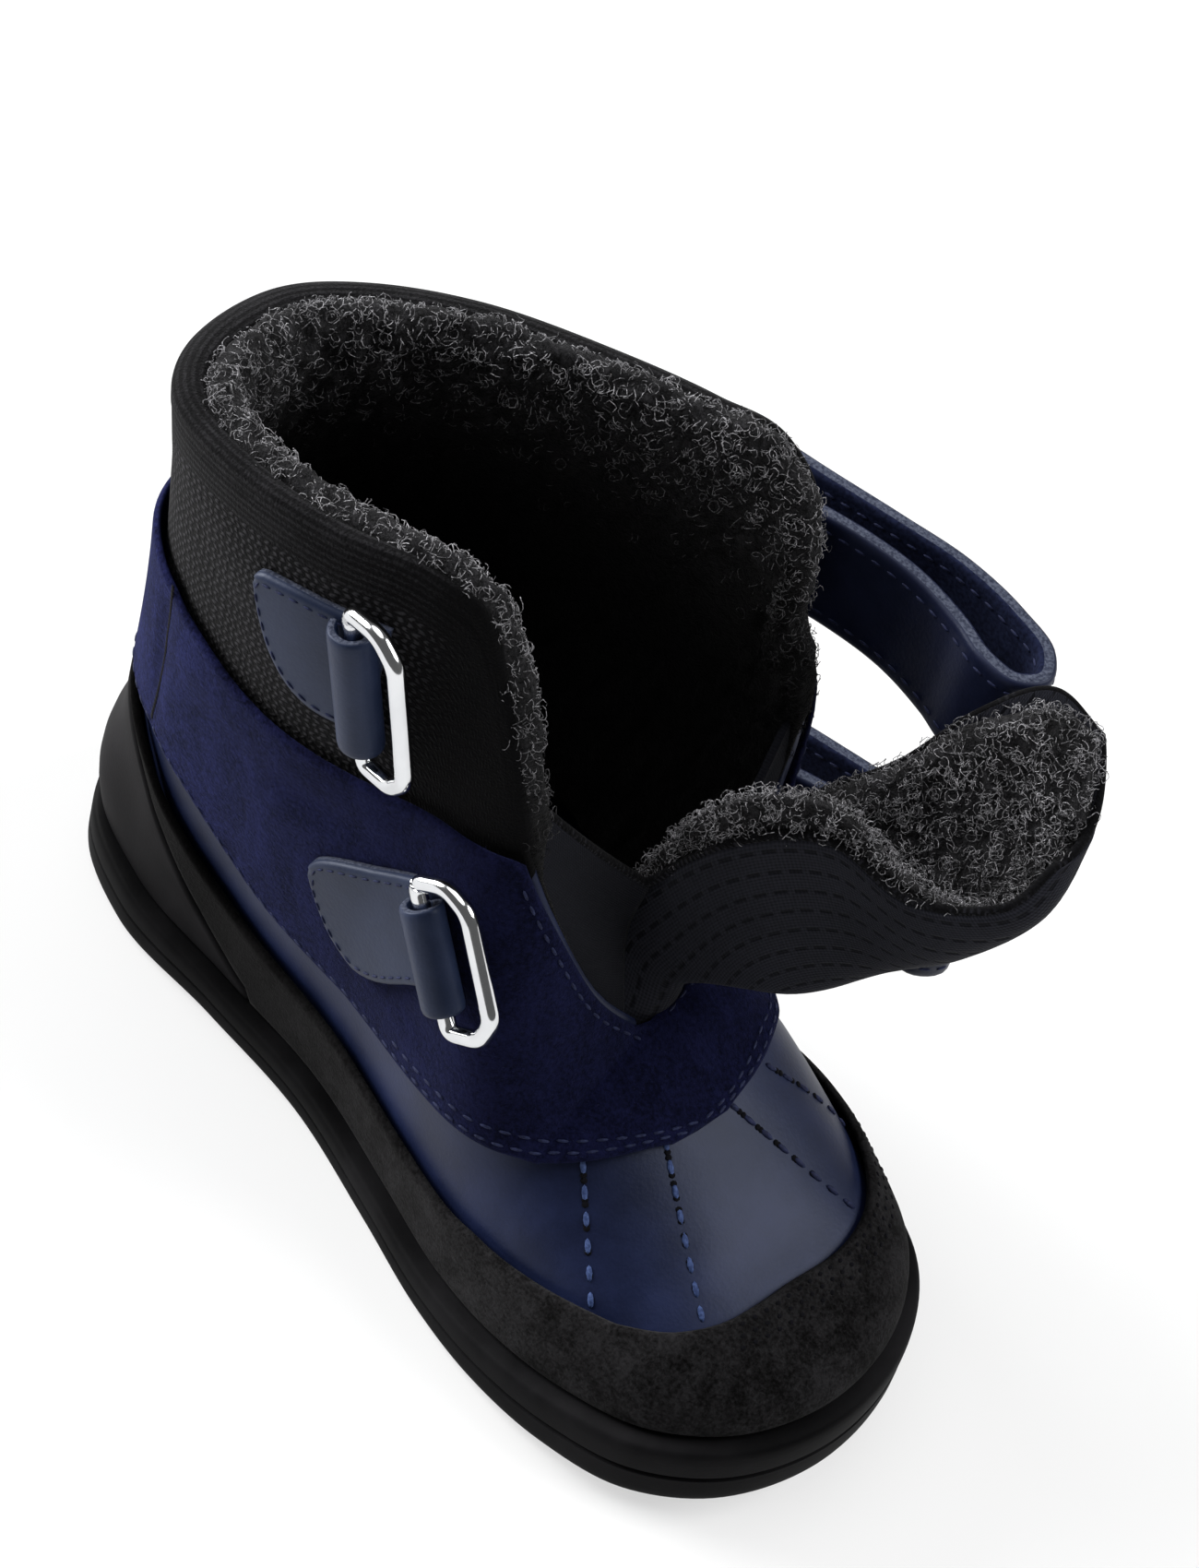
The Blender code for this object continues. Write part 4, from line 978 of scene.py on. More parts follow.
def suedeLimits(along):
    low = suedeFoot(along)
    high = np.minimum(shareAtHeight(along, overlays["knitLine"]), 1.0)
    foot, _, _, top = ribControls(along)
    belowEdge = 1.0 - overlays["edgeMargin"] / np.linalg.norm(top - foot, axis=1)
    high = np.where(onRidge(along), 1.0, np.minimum(high, belowEdge))
    tip = np.abs(sideShare(along) - throatAt(along) - tipShare) < 1e-6
    return np.where(tip, 1.0, np.minimum(low, high - 0.02)), high


def lumps(points, size, amount, seed):
    shift = Vector((seed, 2 * seed, 3 * seed))
    flat = points.reshape(-1, 3)
    values = [turbulence.noise(Vector(point) / size + shift) for point in flat]
    return (np.array(values) * amount).reshape(points.shape[:-1])


def tubeMesh(name, path, radius, sides, closed=True):
    tangent = unit(np.roll(path, -1, axis=0) - np.roll(path, 1, axis=0))
    if not closed:
        tangent[0], tangent[-1] = unit(path[1] - path[0]), unit(path[-1] - path[-2])
    askew = np.roll(tangent, -3, axis=0) * 0.3 + np.array((0.13, 0.21, 0.97))  # never along the path
    flat = unit(np.cross(tangent, askew))
    other = np.cross(tangent, flat)
    turn = np.linspace(0.0, 2 * math.pi, sides, endpoint=False)
    ring = np.cos(turn)[None, :, None] * flat[:, None] + np.sin(turn)[None, :, None] * other[:, None]
    grid = path[:, None] + np.reshape(radius, (-1, 1, 1)) * ring
    grid = np.concatenate((grid, grid[:, :1]), axis=1)
    mesh = sheetMesh(name, grid, closed)
    weld(mesh)
    return mesh


# what repeats: stitches along lines, curls over wool
def startTree(name, inputs):
    tree = bpy.data.node_groups.new(name, "GeometryNodeTree")
    tree.interface.new_socket("Geometry", in_out="INPUT", socket_type="NodeSocketGeometry")
    for label, kind in inputs:
        tree.interface.new_socket(label, in_out="INPUT", socket_type=f"NodeSocket{kind}")
    tree.interface.new_socket("Geometry", in_out="OUTPUT", socket_type="NodeSocketGeometry")
    source = tree.nodes.new("NodeGroupInput")
    return tree, {socket.name: Wire(tree, socket) for socket in source.outputs if socket.name}


def endTree(tree, shape, finish):
    plain = shape.node("GeometryNodeRealizeInstances", None, {"Geometry": shape})
    smooth = plain.node("GeometryNodeSetShadeSmooth", None, {"Geometry": plain})
    painted = smooth.node("GeometryNodeSetMaterial", None, {"Geometry": smooth, "Material": finish})
    target = tree.nodes.new("NodeGroupOutput")
    tree.links.new(painted.socket, target.inputs["Geometry"])
    return tree


def grow(item, tree, values):
    repeat = item.modifiers.new("repeat", "NODES")
    repeat.node_group = tree
    for socket in tree.interface.items_tree:
        if socket.in_out == "INPUT" and socket.name in values:
            repeat[socket.identifier] = values[socket.name]
    return settle(item)


def scaled(vector, factor):
    return vector.node("ShaderNodeVectorMath", {"operation": "SCALE"}, {0: vector, "Scale": factor})


def stitchTree():
    tree, given = startTree("stitches", (("Spacing", "Float"), ("Size", "Vector"), ("Finish", "Material")))
    lines = given["Geometry"]
    curve = lines.node("GeometryNodeMeshToCurve", None, {"Mesh": lines})
    steps = {"Curve": curve, "Length": given["Spacing"]}
    spots = curve.node("GeometryNodeCurveToPoints", {"mode": "LENGTH"}, steps)
    tangent = Wire(tree, spots.socket.node.outputs["Tangent"])
    up = lines.node("GeometryNodeInputNamedAttribute", {"data_type": "FLOAT_VECTOR"}, {"Name": "up"})
    axes = {"Primary Axis": tangent, "Secondary Axis": up}
    turn = up.node("FunctionNodeAxesToRotation", {"primary_axis": "X", "secondary_axis": "Z"}, axes)
    bead = lines.node("GeometryNodeMeshUVSphere", None, {"Segments": 8, "Rings": 5, "Radius": 0.5})
    stitch = bead.node("GeometryNodeTransform", None, {"Geometry": bead, "Scale": given["Size"]})
    placed = {"Points": spots, "Instance": stitch, "Rotation": turn}
    return endTree(tree, spots.node("GeometryNodeInstanceOnPoints", None, placed), given["Finish"])


def curlTree():
    look = {"points": 10, "turns": 1.4, "rise": 0.0012, "taper": 0.55, "sizes": (0.45, 1.5), "sway": 1.4,
            "swayScale": 800.0}
    inputs = (("Density", "Float"), ("Seed", "Int"), ("Radius", "Float"), ("Fibre", "Float"),
              ("Lift", "Float"), ("Finish", "Material"))
    tree, given = startTree("curls", inputs)
    skin = given["Geometry"]
    fuzz = skin.node("GeometryNodeInputNamedAttribute", {"data_type": "FLOAT"}, {"Name": "fuzz"})
    spread = {"Mesh": skin, "Density": fuzz * given["Density"], "Seed": given["Seed"]}
    spots = skin.node("GeometryNodeDistributePointsOnFaces", {"distribute_method": "RANDOM"}, spread)
    normal = Wire(tree, spots.socket.node.outputs["Normal"])
    offset = scaled(normal, given["Lift"])
    raised = spots.node("GeometryNodeSetPosition", None, {"Geometry": spots, "Offset": offset})
    shape = {"Resolution": look["points"], "Rotations": look["turns"], "Height": look["rise"],
             "Start Radius": given["Radius"], "End Radius": given["Radius"] * look["taper"]}
    coil = skin.node("GeometryNodeCurveSpiral", None, shape)
    angles = {0: (0.0, 0.0, 0.0), 1: (6.283, 6.283, 6.283), "Seed": given["Seed"]}
    angle = skin.node("FunctionNodeRandomValue", {"data_type": "FLOAT_VECTOR"}, angles)
    turn = angle.node("FunctionNodeEulerToRotation", None, {0: angle})
    sizes = {2: look["sizes"][0], 3: look["sizes"][1], "Seed": given["Seed"]}
    size = skin.node("FunctionNodeRandomValue", {"data_type": "FLOAT"}, sizes, out=1)
    placed = {"Points": raised, "Instance": coil, "Rotation": turn, "Scale": size}
    coils = raised.node("GeometryNodeInstanceOnPoints", None, placed)
    loose = coils.node("GeometryNodeRealizeInstances", None, {"Geometry": coils})
    spot = skin.node("GeometryNodeInputPosition")
    waves = {"Vector": spot, "Scale": look["swayScale"], "Detail": 1.0}
    sway = spot.node("ShaderNodeTexNoise", None, waves, out=1)
    sway = sway.node("ShaderNodeVectorMath", {"operation": "SUBTRACT"}, {0: sway, 1: (0.5, 0.5, 0.5)})
    offset = scaled(sway, given["Radius"] * look["sway"])
    bent = loose.node("GeometryNodeSetPosition", None, {"Geometry": loose, "Offset": offset})
    thread = skin.node("GeometryNodeCurvePrimitiveCircle", None, {"Resolution": 3, "Radius": given["Fibre"]})
    curl = bent.node("GeometryNodeCurveToMesh", None, {"Curve": bent, "Profile Curve": thread})
    return endTree(tree, curl, given["Finish"])


trees = {"stitch": stitchTree(), "curl": curlTree()}


def stitchObject(name, lines, spacing, size, finish):
    # lines is a list of (points, ups) in millimetres
    mesh = bpy.data.meshes.new(name)
    points = np.concatenate([line for line, _ in lines])
    ups = np.concatenate([up for _, up in lines])
    edges, start = [], 0
    for line, _ in lines:
        edges += [(start + step, start + step + 1) for step in range(len(line) - 1)]
        start += len(line)
    mesh.from_pydata((points * mm).tolist(), edges, [])
    layer = mesh.attributes.new("up", "FLOAT_VECTOR", "POINT")
    layer.data.foreach_set("vector", ups.astype(np.float32).ravel())
    item = addObject(name, mesh)
    values = {"Spacing": spacing * mm, "Size": [value * mm for value in size], "Finish": finishes[finish]}
    grow(item, trees["stitch"], values)
    return register(item, "shoe")


def curlObject(name, skin, density, seed, finish="fibre"):
    curls = {"radius": 0.85, "fibre": 0.062, "lift": 0.40}
    item = addObject(name, skin.data.copy())
    values = {"Density": density, "Seed": seed, "Radius": curls["radius"] * mm, "Fibre": curls["fibre"] * mm,
              "Lift": curls["lift"] * mm, "Finish": finishes[finish]}
    grow(item, trees["curl"], values)
    print(name, 2 * len(item.data.polygons), "triangles")
    return register(item, "shoe")


collar = {
    # width of the knit's rolled edge: share of the side, inner side, outer side
    "cap": ((0.0, 6.0, 6.0), (0.1, 5.6, 5.8), (0.2, 4.2, 5.2), (0.3, 3.0, 4.4), (0.38, 2.3, 3.2),
            (0.44, 1.5, 1.9), (0.50, 1.1, 1.3), (0.70, 0.9, 0.9)),
    "height": 1.9, "heightBy": (0.35, 0.45), "lap": 1.6, "lapSeat": 0.08, "tuck": 2.0, "spare": 0.7,
    "ends": (0.548, 0.522), "columns": 240, "steps": 13,
}


def capWidth(along):
    read = readTable(collar["cap"], np.minimum(sideShare(along), 0.7))
    return np.where(along % 2.0 <= 1.0, read[:, 0], read[:, 1])


def edgeFrame(along):
    # a point on the top edge, the way out of the wall and the way on past the edge
    top, nudge = np.ones(len(along)), 0.004
    edge = wallPoint(along, top)
    tangent = wallPoint(along + nudge, top) - wallPoint(along - nudge, top)
    normal = wallNormal(along, np.full(len(along), 0.97))
    _, _, high, end = ribControls(along)
    off = unit(np.cross(normal, tangent))
    return edge, normal, off * np.sign((off * (end - high)).sum(axis=1))[:, None]


def buildCollarRoll():
    along = np.linspace(-collar["ends"][1], collar["ends"][0], collar["columns"])
    edge, normal, off = edgeFrame(along)
    width = capWidth(along)[:, None] + collar["spare"]
    least, slope = collar["heightBy"]
    tall = np.minimum(collar["height"], least + slope * width)
    turn = np.linspace(0.0, math.pi, collar["steps"])[None, :]
    inward, height = width / 2 * (1 - np.cos(turn)), tall * np.sin(turn)
    grid = edge[:, None] - normal[:, None] * inward[..., None] + off[:, None] * height[..., None]
    first = wallOffset(along, shareBelowTop(along, collar["lap"]), collar["lapSeat"])
    end = grid[:, -1] - off * collar["tuck"]
    grid = np.concatenate((first[:, None], grid, end[:, None]), axis=1)
    mesh = sheetMesh("collarRoll", grid)
    flat = flatMap(grid)
    flat[..., 1] -= flat[:, 1:2, 1]
    addFlat(mesh, flat)
    if (gridNormal(grid)[:, grid.shape[1] // 2] * off).sum() < 0:
        mesh.flip_normals()
    mesh.shade_smooth()
    register(addObject("collarRoll", mesh, finishes["knit"]), "shoe")
    print("collar roll made")


def buildLining():
    lining = {
        # the section of the wool: inward from the knit's rolled edge, height over the edge
        "roll": ((-0.3, -2.5), (-0.3, 0.0), (0.0, 1.4), (0.8, 2.5), (2.0, 3.0), (3.2, 2.6), (4.1, 1.2),
                 (4.5, -1.0), (4.4, -4.0), (3.9, -7.5), (3.2, -12.0), (2.5, -18.0), (1.9, -26.0),
                 (1.5, -36.0), (1.2, -48.0), (1.0, -62.0), (0.9, -80.0)),
        "rows": 60, "wall": 2.8, "blend": (5.0, 28.0), "tuck": (0.125, 0.095), "thin": 0.15,
        "lump": (2.2, 1.0, 0.0), "floor": 9.0,
        # how thick the curls stand by height over the edge
        "fuzz": ((-30.0, 0.0), (-22.0, 0.08), (-13.0, 0.34), (-6.0, 0.82), (-2.0, 1.0), (3.0, 1.0)),
        "bare": 0.06,       # share of the rows under the knit that carries no curls
        "curls": 5.1e5,
    }
    along = upperStations(110, 10, 20)
    roll = throughRows(lining["roll"], np.linspace(0.0, 1.0, lining["rows"]))
    ahead = sideShare(along) - throatAt(along)
    tuck = ease(ahead, -lining["tuck"][0], -lining["tuck"][1])
    fade = 1.0 - (1.0 - lining["thin"]) * tuck
    _, _, off = edgeFrame(along)
    cap = capWidth(along)
    _, lengths = girths(along)
    grid = np.zeros((len(along), lining["rows"], 3))
    for row, (inward, height) in enumerate(roll):
        depth = np.minimum(max(-height, 0.0), lengths[:, -1] - 1.0)
        share = shareBelowTop(along, depth)
        normal = wallNormal(along, share)
        inset = cap + (lining["wall"] - cap) * ease(depth, *lining["blend"]) + inward * fade
        raised = max(height, 0.0) * fade * (ahead < 0.0)
        grid[:, row] = wallPoint(along, share) - normal * inset[:, None] + off * raised[:, None]
    grid[..., 2] = np.maximum(grid[..., 2], lining["floor"])
    bulge = lumps(grid, *lining["lump"]) * np.clip(roll[:, 0] + 0.3, 0.0, 1.0)[None, :]
    grid = grid - gridNormal(grid) * (bulge * fade[:, None])[..., None]
    mesh = sheetMesh("woolLining", grid)
    table = np.array(lining["fuzz"])
    fuzz = np.interp(roll[:, 1], table[:, 0], table[:, 1])
    fuzz = fuzz * (np.arange(len(roll)) > lining["bare"] * len(roll))
    setFuzz(mesh, (1 - tuck)[:, None] * fuzz[None, :])
    weld(mesh)
    mesh.flip_normals()
    wool = register(addObject("woolLining", mesh, finishes["wool"]), "shoe")
    for name, seed in (("liningCurls", 3), ("liningFrizz", 8)):
        curlObject(name, wool, lining["curls"], seed)
    print("lining made")


tongue = {
    # sections from the root to the tip: near edge, belly, far edge
    "rows": ((10.0, -9.0, 47.0, 17.0, 1.0, 41.0, 10.0, 13.0, 47.0),
             (14.5, 3.0, 61.0, 26.0, 7.0, 54.4, 13.5, 19.0, 61.0),
             (25.0, 6.5, 83.0, 38.5, 15.0, 60.0, 22.5, 28.0, 76.0),
             (36.0, 13.5, 91.0, 46.0, 21.0, 69.0, 31.0, 33.0, 89.0),
             (48.0, 18.5, 87.5, 53.0, 27.5, 78.5, 35.0, 41.0, 98.5),
             (56.5, 27.5, 88.5, 57.0, 36.0, 89.0, 40.0, 48.5, 103.5),
             (57.0, 36.0, 93.0, 55.0, 43.5, 96.5, 48.5, 50.5, 101.5)),
    "cloth": 1.8, "pile": 2.8, "seam": 0.1, "columns": 100, "across": 54,
    "lump": (1.8, 0.8, 5.0),            # size, height, seed
    "rootShift": (7.0, 0.0, 1.6), "rootEnd": 0.17,
    # shares of its length: where the pile ends, hangs over and is drawn in, and where the curls start
    "pileEnd": 0.985, "overhang": 0.05, "overFrom": (0.10, 0.30), "overTo": (0.62, 0.85),
    "inset": 0.035, "insetFrom": (0.55, 0.85), "curlsFrom": (0.13, 0.22), "curls": 5.0e5,
    "binding": 0.7, "bindingFrom": 0.34, "bindingSides": 10,
}


def tonguePoint(position, across):
    position = listed(position)
    row = throughRows(tongue["rows"], position)
    near, belly, far = row[:, 0:3], row[:, 3:6], row[:, 6:9]
    handle = 2 * belly - (near + far) / 2
    t = np.reshape(across, (-1, 1))
    root = np.outer(1 - ease(position, 0.0, tongue["rootEnd"]), tongue["rootShift"])
    return (1 - t) ** 2 * near + 2 * t * (1 - t) * handle + t ** 2 * far + root


def tongueGrid(columns, rows):
    positions, shares = np.meshgrid(softRows(columns), softRows(rows), indexing="ij")
    grid = tonguePoint(positions.ravel(), shares.ravel()).reshape(columns, rows, 3)
    normal = gridNormal(grid)
    middle = grid[columns // 2]
    inward = (middle[0] + middle[-1]) / 2 - middle[rows // 2]
    if np.dot(normal[columns // 2, rows // 2], inward) > 0:
        normal = -normal
    return grid, normal


def buildTongue():
    columns, rows = tongue["columns"], tongue["across"]
    grid, normal = tongueGrid(columns, rows)
    clothHigh = grid + normal * (tongue["cloth"] * edgeFall(grid, 1.6, 0.45))[..., None]
    cloth = orientedShell("tongueCloth", grid + normal * tongue["seam"], clothHigh, normal,
                          [finishes["cloth"]], flatMap(grid))
    register(cloth, "shoe", ("tongue",))

    positions, shares = np.meshgrid(softRows(columns) * tongue["pileEnd"], softRows(rows), indexing="ij")
    over = tongue["overhang"] * ease(positions, *tongue["overFrom"])
    over = over * (1 - ease(positions, *tongue["overTo"]))
    inset = tongue["inset"] * ease(positions, *tongue["insetFrom"])
    shares = -over + inset + shares * (1.0 + over - 2 * inset)
    pileGrid = tonguePoint(positions.ravel(), shares.ravel()).reshape(columns, rows, 3)
    thick = tongue["pile"] * edgeFall(pileGrid, tongue["pile"], 0.15)
    thick = thick + lumps(pileGrid, *tongue["lump"]) * edgeFall(pileGrid, 1.0)
    fuzz = np.stack((np.ones(shares.shape), shares < 0.004))  # on the face, and behind where it hangs over
    fuzz = fuzz * ease(positions, *tongue["curlsFrom"])
    pile = orientedShell("tonguePile", pileGrid + normal * tongue["seam"],
                         pileGrid - normal * thick[..., None], -normal, [finishes["tongueWool"]], fuzz=fuzz)
    register(pile, "shoe")
    for name, seed in (("tongueCurls", 11), ("tongueFrizz", 17)):
        curlObject(name, pile, tongue["curls"], seed, "tongueFibre")

    first = int(tongue["bindingFrom"] * columns)
    edge = np.concatenate((gussetGrid("medial")[-1, 2::2], clothHigh[first:, 0], clothHigh[-1, 1:-1],
                           clothHigh[::-1, -1][:-first]))
    path = alongLine(edge, np.linspace(0.0, 1.0, 320))
    sides = tongue["bindingSides"]
    mesh = tubeMesh("tongueBinding", path, tongue["binding"], sides, closed=False)
    girth = np.tile(np.linspace(0.0, 5.0, sides), len(path))
    addFlat(mesh, np.column_stack((np.repeat(runLength(path), sides), girth)))
    register(addObject("tongueBinding", mesh, finishes["binding"]), "shoe")
    print("tongue made")


gussets = {
    # share along the throat's edge, share along the tongue, fold forward, share across the tongue
    "medial": ((0.02, 0.02, 0.2, 0.30), (0.20, 0.06, 0.8, 0.20), (0.42, 0.11, 1.2, 0.12),
               (0.60, 0.15, 1.5, 0.07), (0.78, 0.185, 1.5, 0.03), (0.90, 0.22, 1.2, 0.0)),
    "lateral": ((0.10, 0.03, 0.0, 0.80), (0.35, 0.08, 0.0, 0.90), (0.60, 0.13, 0.0, 0.93),
                (0.66, 0.15, 0.0, 0.94), (0.72, 0.175, 0.0, 0.96), (0.78, 0.20, 0.0, 0.98)),
    "thick": 1.2, "inset": 1.6, "over": -0.2, "foldWay": (0.7, 0.0, -0.7),
    "topRow": 8,        # row of the top edge's table where they end
}


def gussetGrid(side, columns=30, across=24):
    inner = side == "medial"
    rows = last["innerTop"] if inner else last["outerTop"]
    throat = rows[-1][0]
    reach = throat - rows[gussets["topRow"]][0]
    read = throughRows(gussets[side], np.linspace(0.0, 1.0, columns))
    share = throat - reach * read[:, 0]
    edge, normal, off = edgeFrame(share if inner else 2.0 - share)
    start = edge - normal * gussets["inset"] + off * gussets["over"]
    end = clothPoint(read[:, 1], read[:, 3])
    w = np.linspace(0.0, 1.0, across)[None, :, None]
    fold = np.array(gussets["foldWay"]) * (read[:, 2:3, None] * 4 * w * (1 - w))
    return start[:, None] + (end - start)[:, None] * w + fold


def clothPoint(position, across):
    # on the outside of the tongue's cloth
    nudge = 0.01
    byPosition = tonguePoint(position + nudge, across) - tonguePoint(position - nudge, across)
    byAcross = tonguePoint(position, across + nudge) - tonguePoint(position, across - nudge)
    return tonguePoint(position, across) + unit(np.cross(byAcross, byPosition)) * tongue["cloth"]


def buildGusset(side):
    grid = gussetGrid(side)
    normal = gridNormal(grid)
    half = gussets["thick"] / 2
    web = shellObject(f"gusset{side.title()}", grid - normal * half, grid + normal * half,
                      [finishes["plainCloth"]], flatMap(grid))
    register(web, "shoe", (f"gusset_{side}",))
    print(side, "gusset made")


tabs = {
    # x and z of the loop's middle, axis lean, seat, ring turn, loop and ring length
    "upper": (-15.4, 98.2, -0.27, 0.4, 26.0, 20.0, 29.0),
    "lower": (8.6, 63.8, -0.72, 2.5, 2.0, 16.0, 25.4),
    "loopRadius": 3.1, "leafThick": 1.4, "wire": 2.6, "ringWidth": 12.0, "chamfer": 3.2, "corner": 1.6,
    # the loop's middle line round the bar: forward, outward
    "loopPath": ((-3.5, -1.3), (-3.1, 0.1), (-2.3, 1.3), (-1.1, 2.05), (0.3, 2.3), (1.5, 1.85), (2.25, 0.9),
                 (2.4, 0.0), (2.0, -1.3), (1.0, -2.1), (-0.6, -2.35), (-3.0, -2.4)),
    "loopThick": 1.4, "leafColumns": 34, "leafRows": 24, "leafTuck": 0.3,
}

# low and high edge of each leaf, from its loop to its far end: x, z on the wall
leaves = {
    "upper": (((-14.0, 88.6), (-18.0, 87.3), (-21.8, 87.1), (-25.8, 88.6), (-29.2, 92.2), (-31.4, 96.4),
               (-33.0, 101.6), (-33.4, 103.6)),
              ((-14.0, 108.0), (-19.3, 107.6), (-23.3, 107.3), (-27.0, 106.9), (-30.0, 106.3), (-32.4, 105.6),
               (-33.3, 104.9), (-33.6, 104.2))),
    "lower": (((12.0, 58.4), (8.5, 55.4), (5.0, 52.0), (1.2, 47.6), (-2.2, 44.6), (-6.3, 42.8), (-10.4, 44.0),
               (-13.8, 47.3), (-16.2, 51.6), (-17.7, 55.4)),
              ((4.2, 71.6), (1.6, 71.0), (-0.8, 69.8), (-4.2, 67.6), (-7.6, 65.4), (-10.6, 63.6),
               (-13.2, 61.9), (-15.6, 60.0), (-17.2, 58.2), (-17.9, 56.6))),
}


def tabFrame(name):
    x, z, lean, seat = tabs[name][:4]
    along, share = findOnWall(x, z)
    point, out = wallPoint(along, share)[0], wallNormal(along, share)[0]
    axis = np.array((lean, 0.0, 1.0))
    axis = unit(axis - out * np.dot(axis, out))
    forward = np.cross(out, axis)
    forward = forward * np.sign(forward[0])
    return point + out * (seat + tabs["loopRadius"]), axis, forward, out


def leafPoint(name, back, level):
    # back 0 at the loop to 1 at the far end, level 0 to 1 across the leaf
    low, high = (alongLine(line, back) for line in leaves[name])
    return low + (high - low) * level[:, None], np.linalg.norm(high - low, axis=1)


def buildTab(name):
    centre, axis, forward, out = tabFrame(name)
    seat, turn, loopLength, ringLength = tabs[name][3:]
    leather = [finishes["tabLeather"], finishes["rawEdge"]]
    back, level = np.meshgrid(softRows(tabs["leafColumns"]), softRows(tabs["leafRows"]), indexing="ij")
    flat, _ = leafPoint(name, back.ravel(), level.ravel())
    skin, normal = wallGrid(*(found.reshape(back.shape) for found in findOnWall(flat[:, 0], flat[:, 1])))
    under = skin + normal * (seat - tabs["leafTuck"])
    level = seat + tabs["leafThick"] * edgeFall(skin, 1.0, 0.3)
    leaf = orientedShell(f"{name}Leaf", under, skin + normal * level[..., None], normal, leather,
                         flatMap(skin), edgeSlot=1)
    register(leaf, "shoe", (f"ring_tab_{name}",))

    path = alongLine(tabs["loopPath"], np.linspace(0.0, 1.0, 40))
    heights = (softRows(16) - 0.5) * loopLength
    line = centre + path[:, :1] * forward + path[:, 1:] * out
    strip = line[:, None] + heights[None, :, None] * axis
    face = gridNormal(strip)
    front = 12, 8  # a place on the outside of the loop
    face = face * np.sign(np.dot(face[front], strip[front] - centre))
    half = (tabs["loopThick"] / 2 * edgeFall(strip, 0.9, 0.55))[..., None]
    loop = orientedShell(f"{name}Loop", strip - face * half, strip + face * half, face, leather,
                         flatMap(strip), edgeSlot=1)
    register(loop, "shoe")

    swing = math.radians(turn)
    reach = forward * math.cos(swing) + out * math.sin(swing)
    path = ringPath(ringLength)
    path = centre + path[:, :1] * reach + path[:, 1:] * axis
    mesh = tubeMesh(f"{name}Ring", path, tabs["wire"] / 2, 18)
    ring = addObject(f"{name}Ring", mesh, finishes["chrome"])
    register(ring, f"ring_{name}", (f"ring_{name}",))
    print(name, "tab and ring made")


def ringPath(length):
    # rounded corners at the bar, chamfered corners at the far side
    tall, wide = (length - tabs["wire"]) / 2, tabs["ringWidth"] - tabs["wire"]
    cut, corner = tabs["chamfer"], tabs["corner"]
    half = [(0.0, tall, corner), (wide - cut, tall, corner), (wide, tall - cut, corner)]
    corners = half + [(across, -height, radius) for across, height, radius in half[::-1]]
    path = []
    for spot, (across, height, radius) in enumerate(corners):
        here = np.array((across, height))
        before = np.array(corners[spot - 1][:2])
        after = np.array(corners[(spot + 1) % len(corners)][:2])
        start = here + unit(before - here) * radius
        end = here + unit(after - here) * radius
        for t in np.linspace(0.0, 1.0, 9):
            path.append((1 - t) ** 2 * start + 2 * t * (1 - t) * here + t ** 2 * end)
    path = np.array(path + path[:1])
    knots = chordShares(path)
    steps = np.linspace(0.0, 1.0, 180, endpoint=False)
    return np.column_stack([np.interp(steps, knots, path[:, axis]) for axis in range(2)])


straps = {
    "width": 19.5, "thick": 2.6, "sewn": (-36.0, -27.0, -18.0), "seat": 2.5,
    # height where it is sewn, height at the fold, and the middle line in plan: x, y
    "upper": (92.4, 92.4, ((-4.2, 45.2), (4.0, 47.6), (13.4, 48.9), (23.0, 48.0), (30.0, 46.4), (35.0, 47.2),
                           (36.8, 50.6), (34.2, 54.4), (26.5, 56.4), (15.7, 56.6), (4.2, 54.2), (-9.0, 51.0),
                           (-17.0, 49.3))),
    "lower": (42.5, 46.6, ((-4.0, 42.0), (5.0, 45.5), (15.0, 48.2), (25.0, 48.8), (33.0, 47.2), (38.0, 47.8),
                           (40.0, 51.2), (37.0, 54.8), (29.0, 56.6), (18.0, 56.6), (7.0, 55.0),
                           (-5.0, 52.6))),
    "columns": 150, "rows": 18,
}


def strapGrid(name, rows):
    sewnHeight, foldHeight, route = straps[name]
    levels = (softRows(rows) - 0.5) * straps["width"]
    grid = np.zeros((straps["columns"], rows, 3))
    fold = max(x for x, _ in route)
    sewn = np.array(straps["sewn"])
    for row, level in enumerate(levels):
        along, share = findOnWall(sewn, np.full(len(sewn), sewnHeight + level), "outer")
        points = [*wallOffset(along, share, straps["seat"] + straps["thick"] / 2)]
        for x, y in route:
            height = sewnHeight + (foldHeight - sewnHeight) * float(ease(x, sewn[-1], fold))
            points.append(np.array((x, y, height + level)))
        grid[:, row] = alongLine(points, np.linspace(0.0, 1.0, len(grid)))
    return grid


def buildStrap(name):
    grid = strapGrid(name, straps["rows"])
    normal = gridNormal(grid)
    half = (straps["thick"] / 2 * edgeFall(grid, 0.9, 0.55))[..., None]
    leather = [finishes["strapLeather"], finishes["rawEdge"], finishes["reverse"]]
    strap = shellObject(f"{name}Strap", grid - normal * half, grid + normal * half, leather, flatMap(grid),
                        edgeSlot=1, lowerSlot=2)
    register(strap, "shoe", (f"strap_{name}",))
    print(name, "strap made")


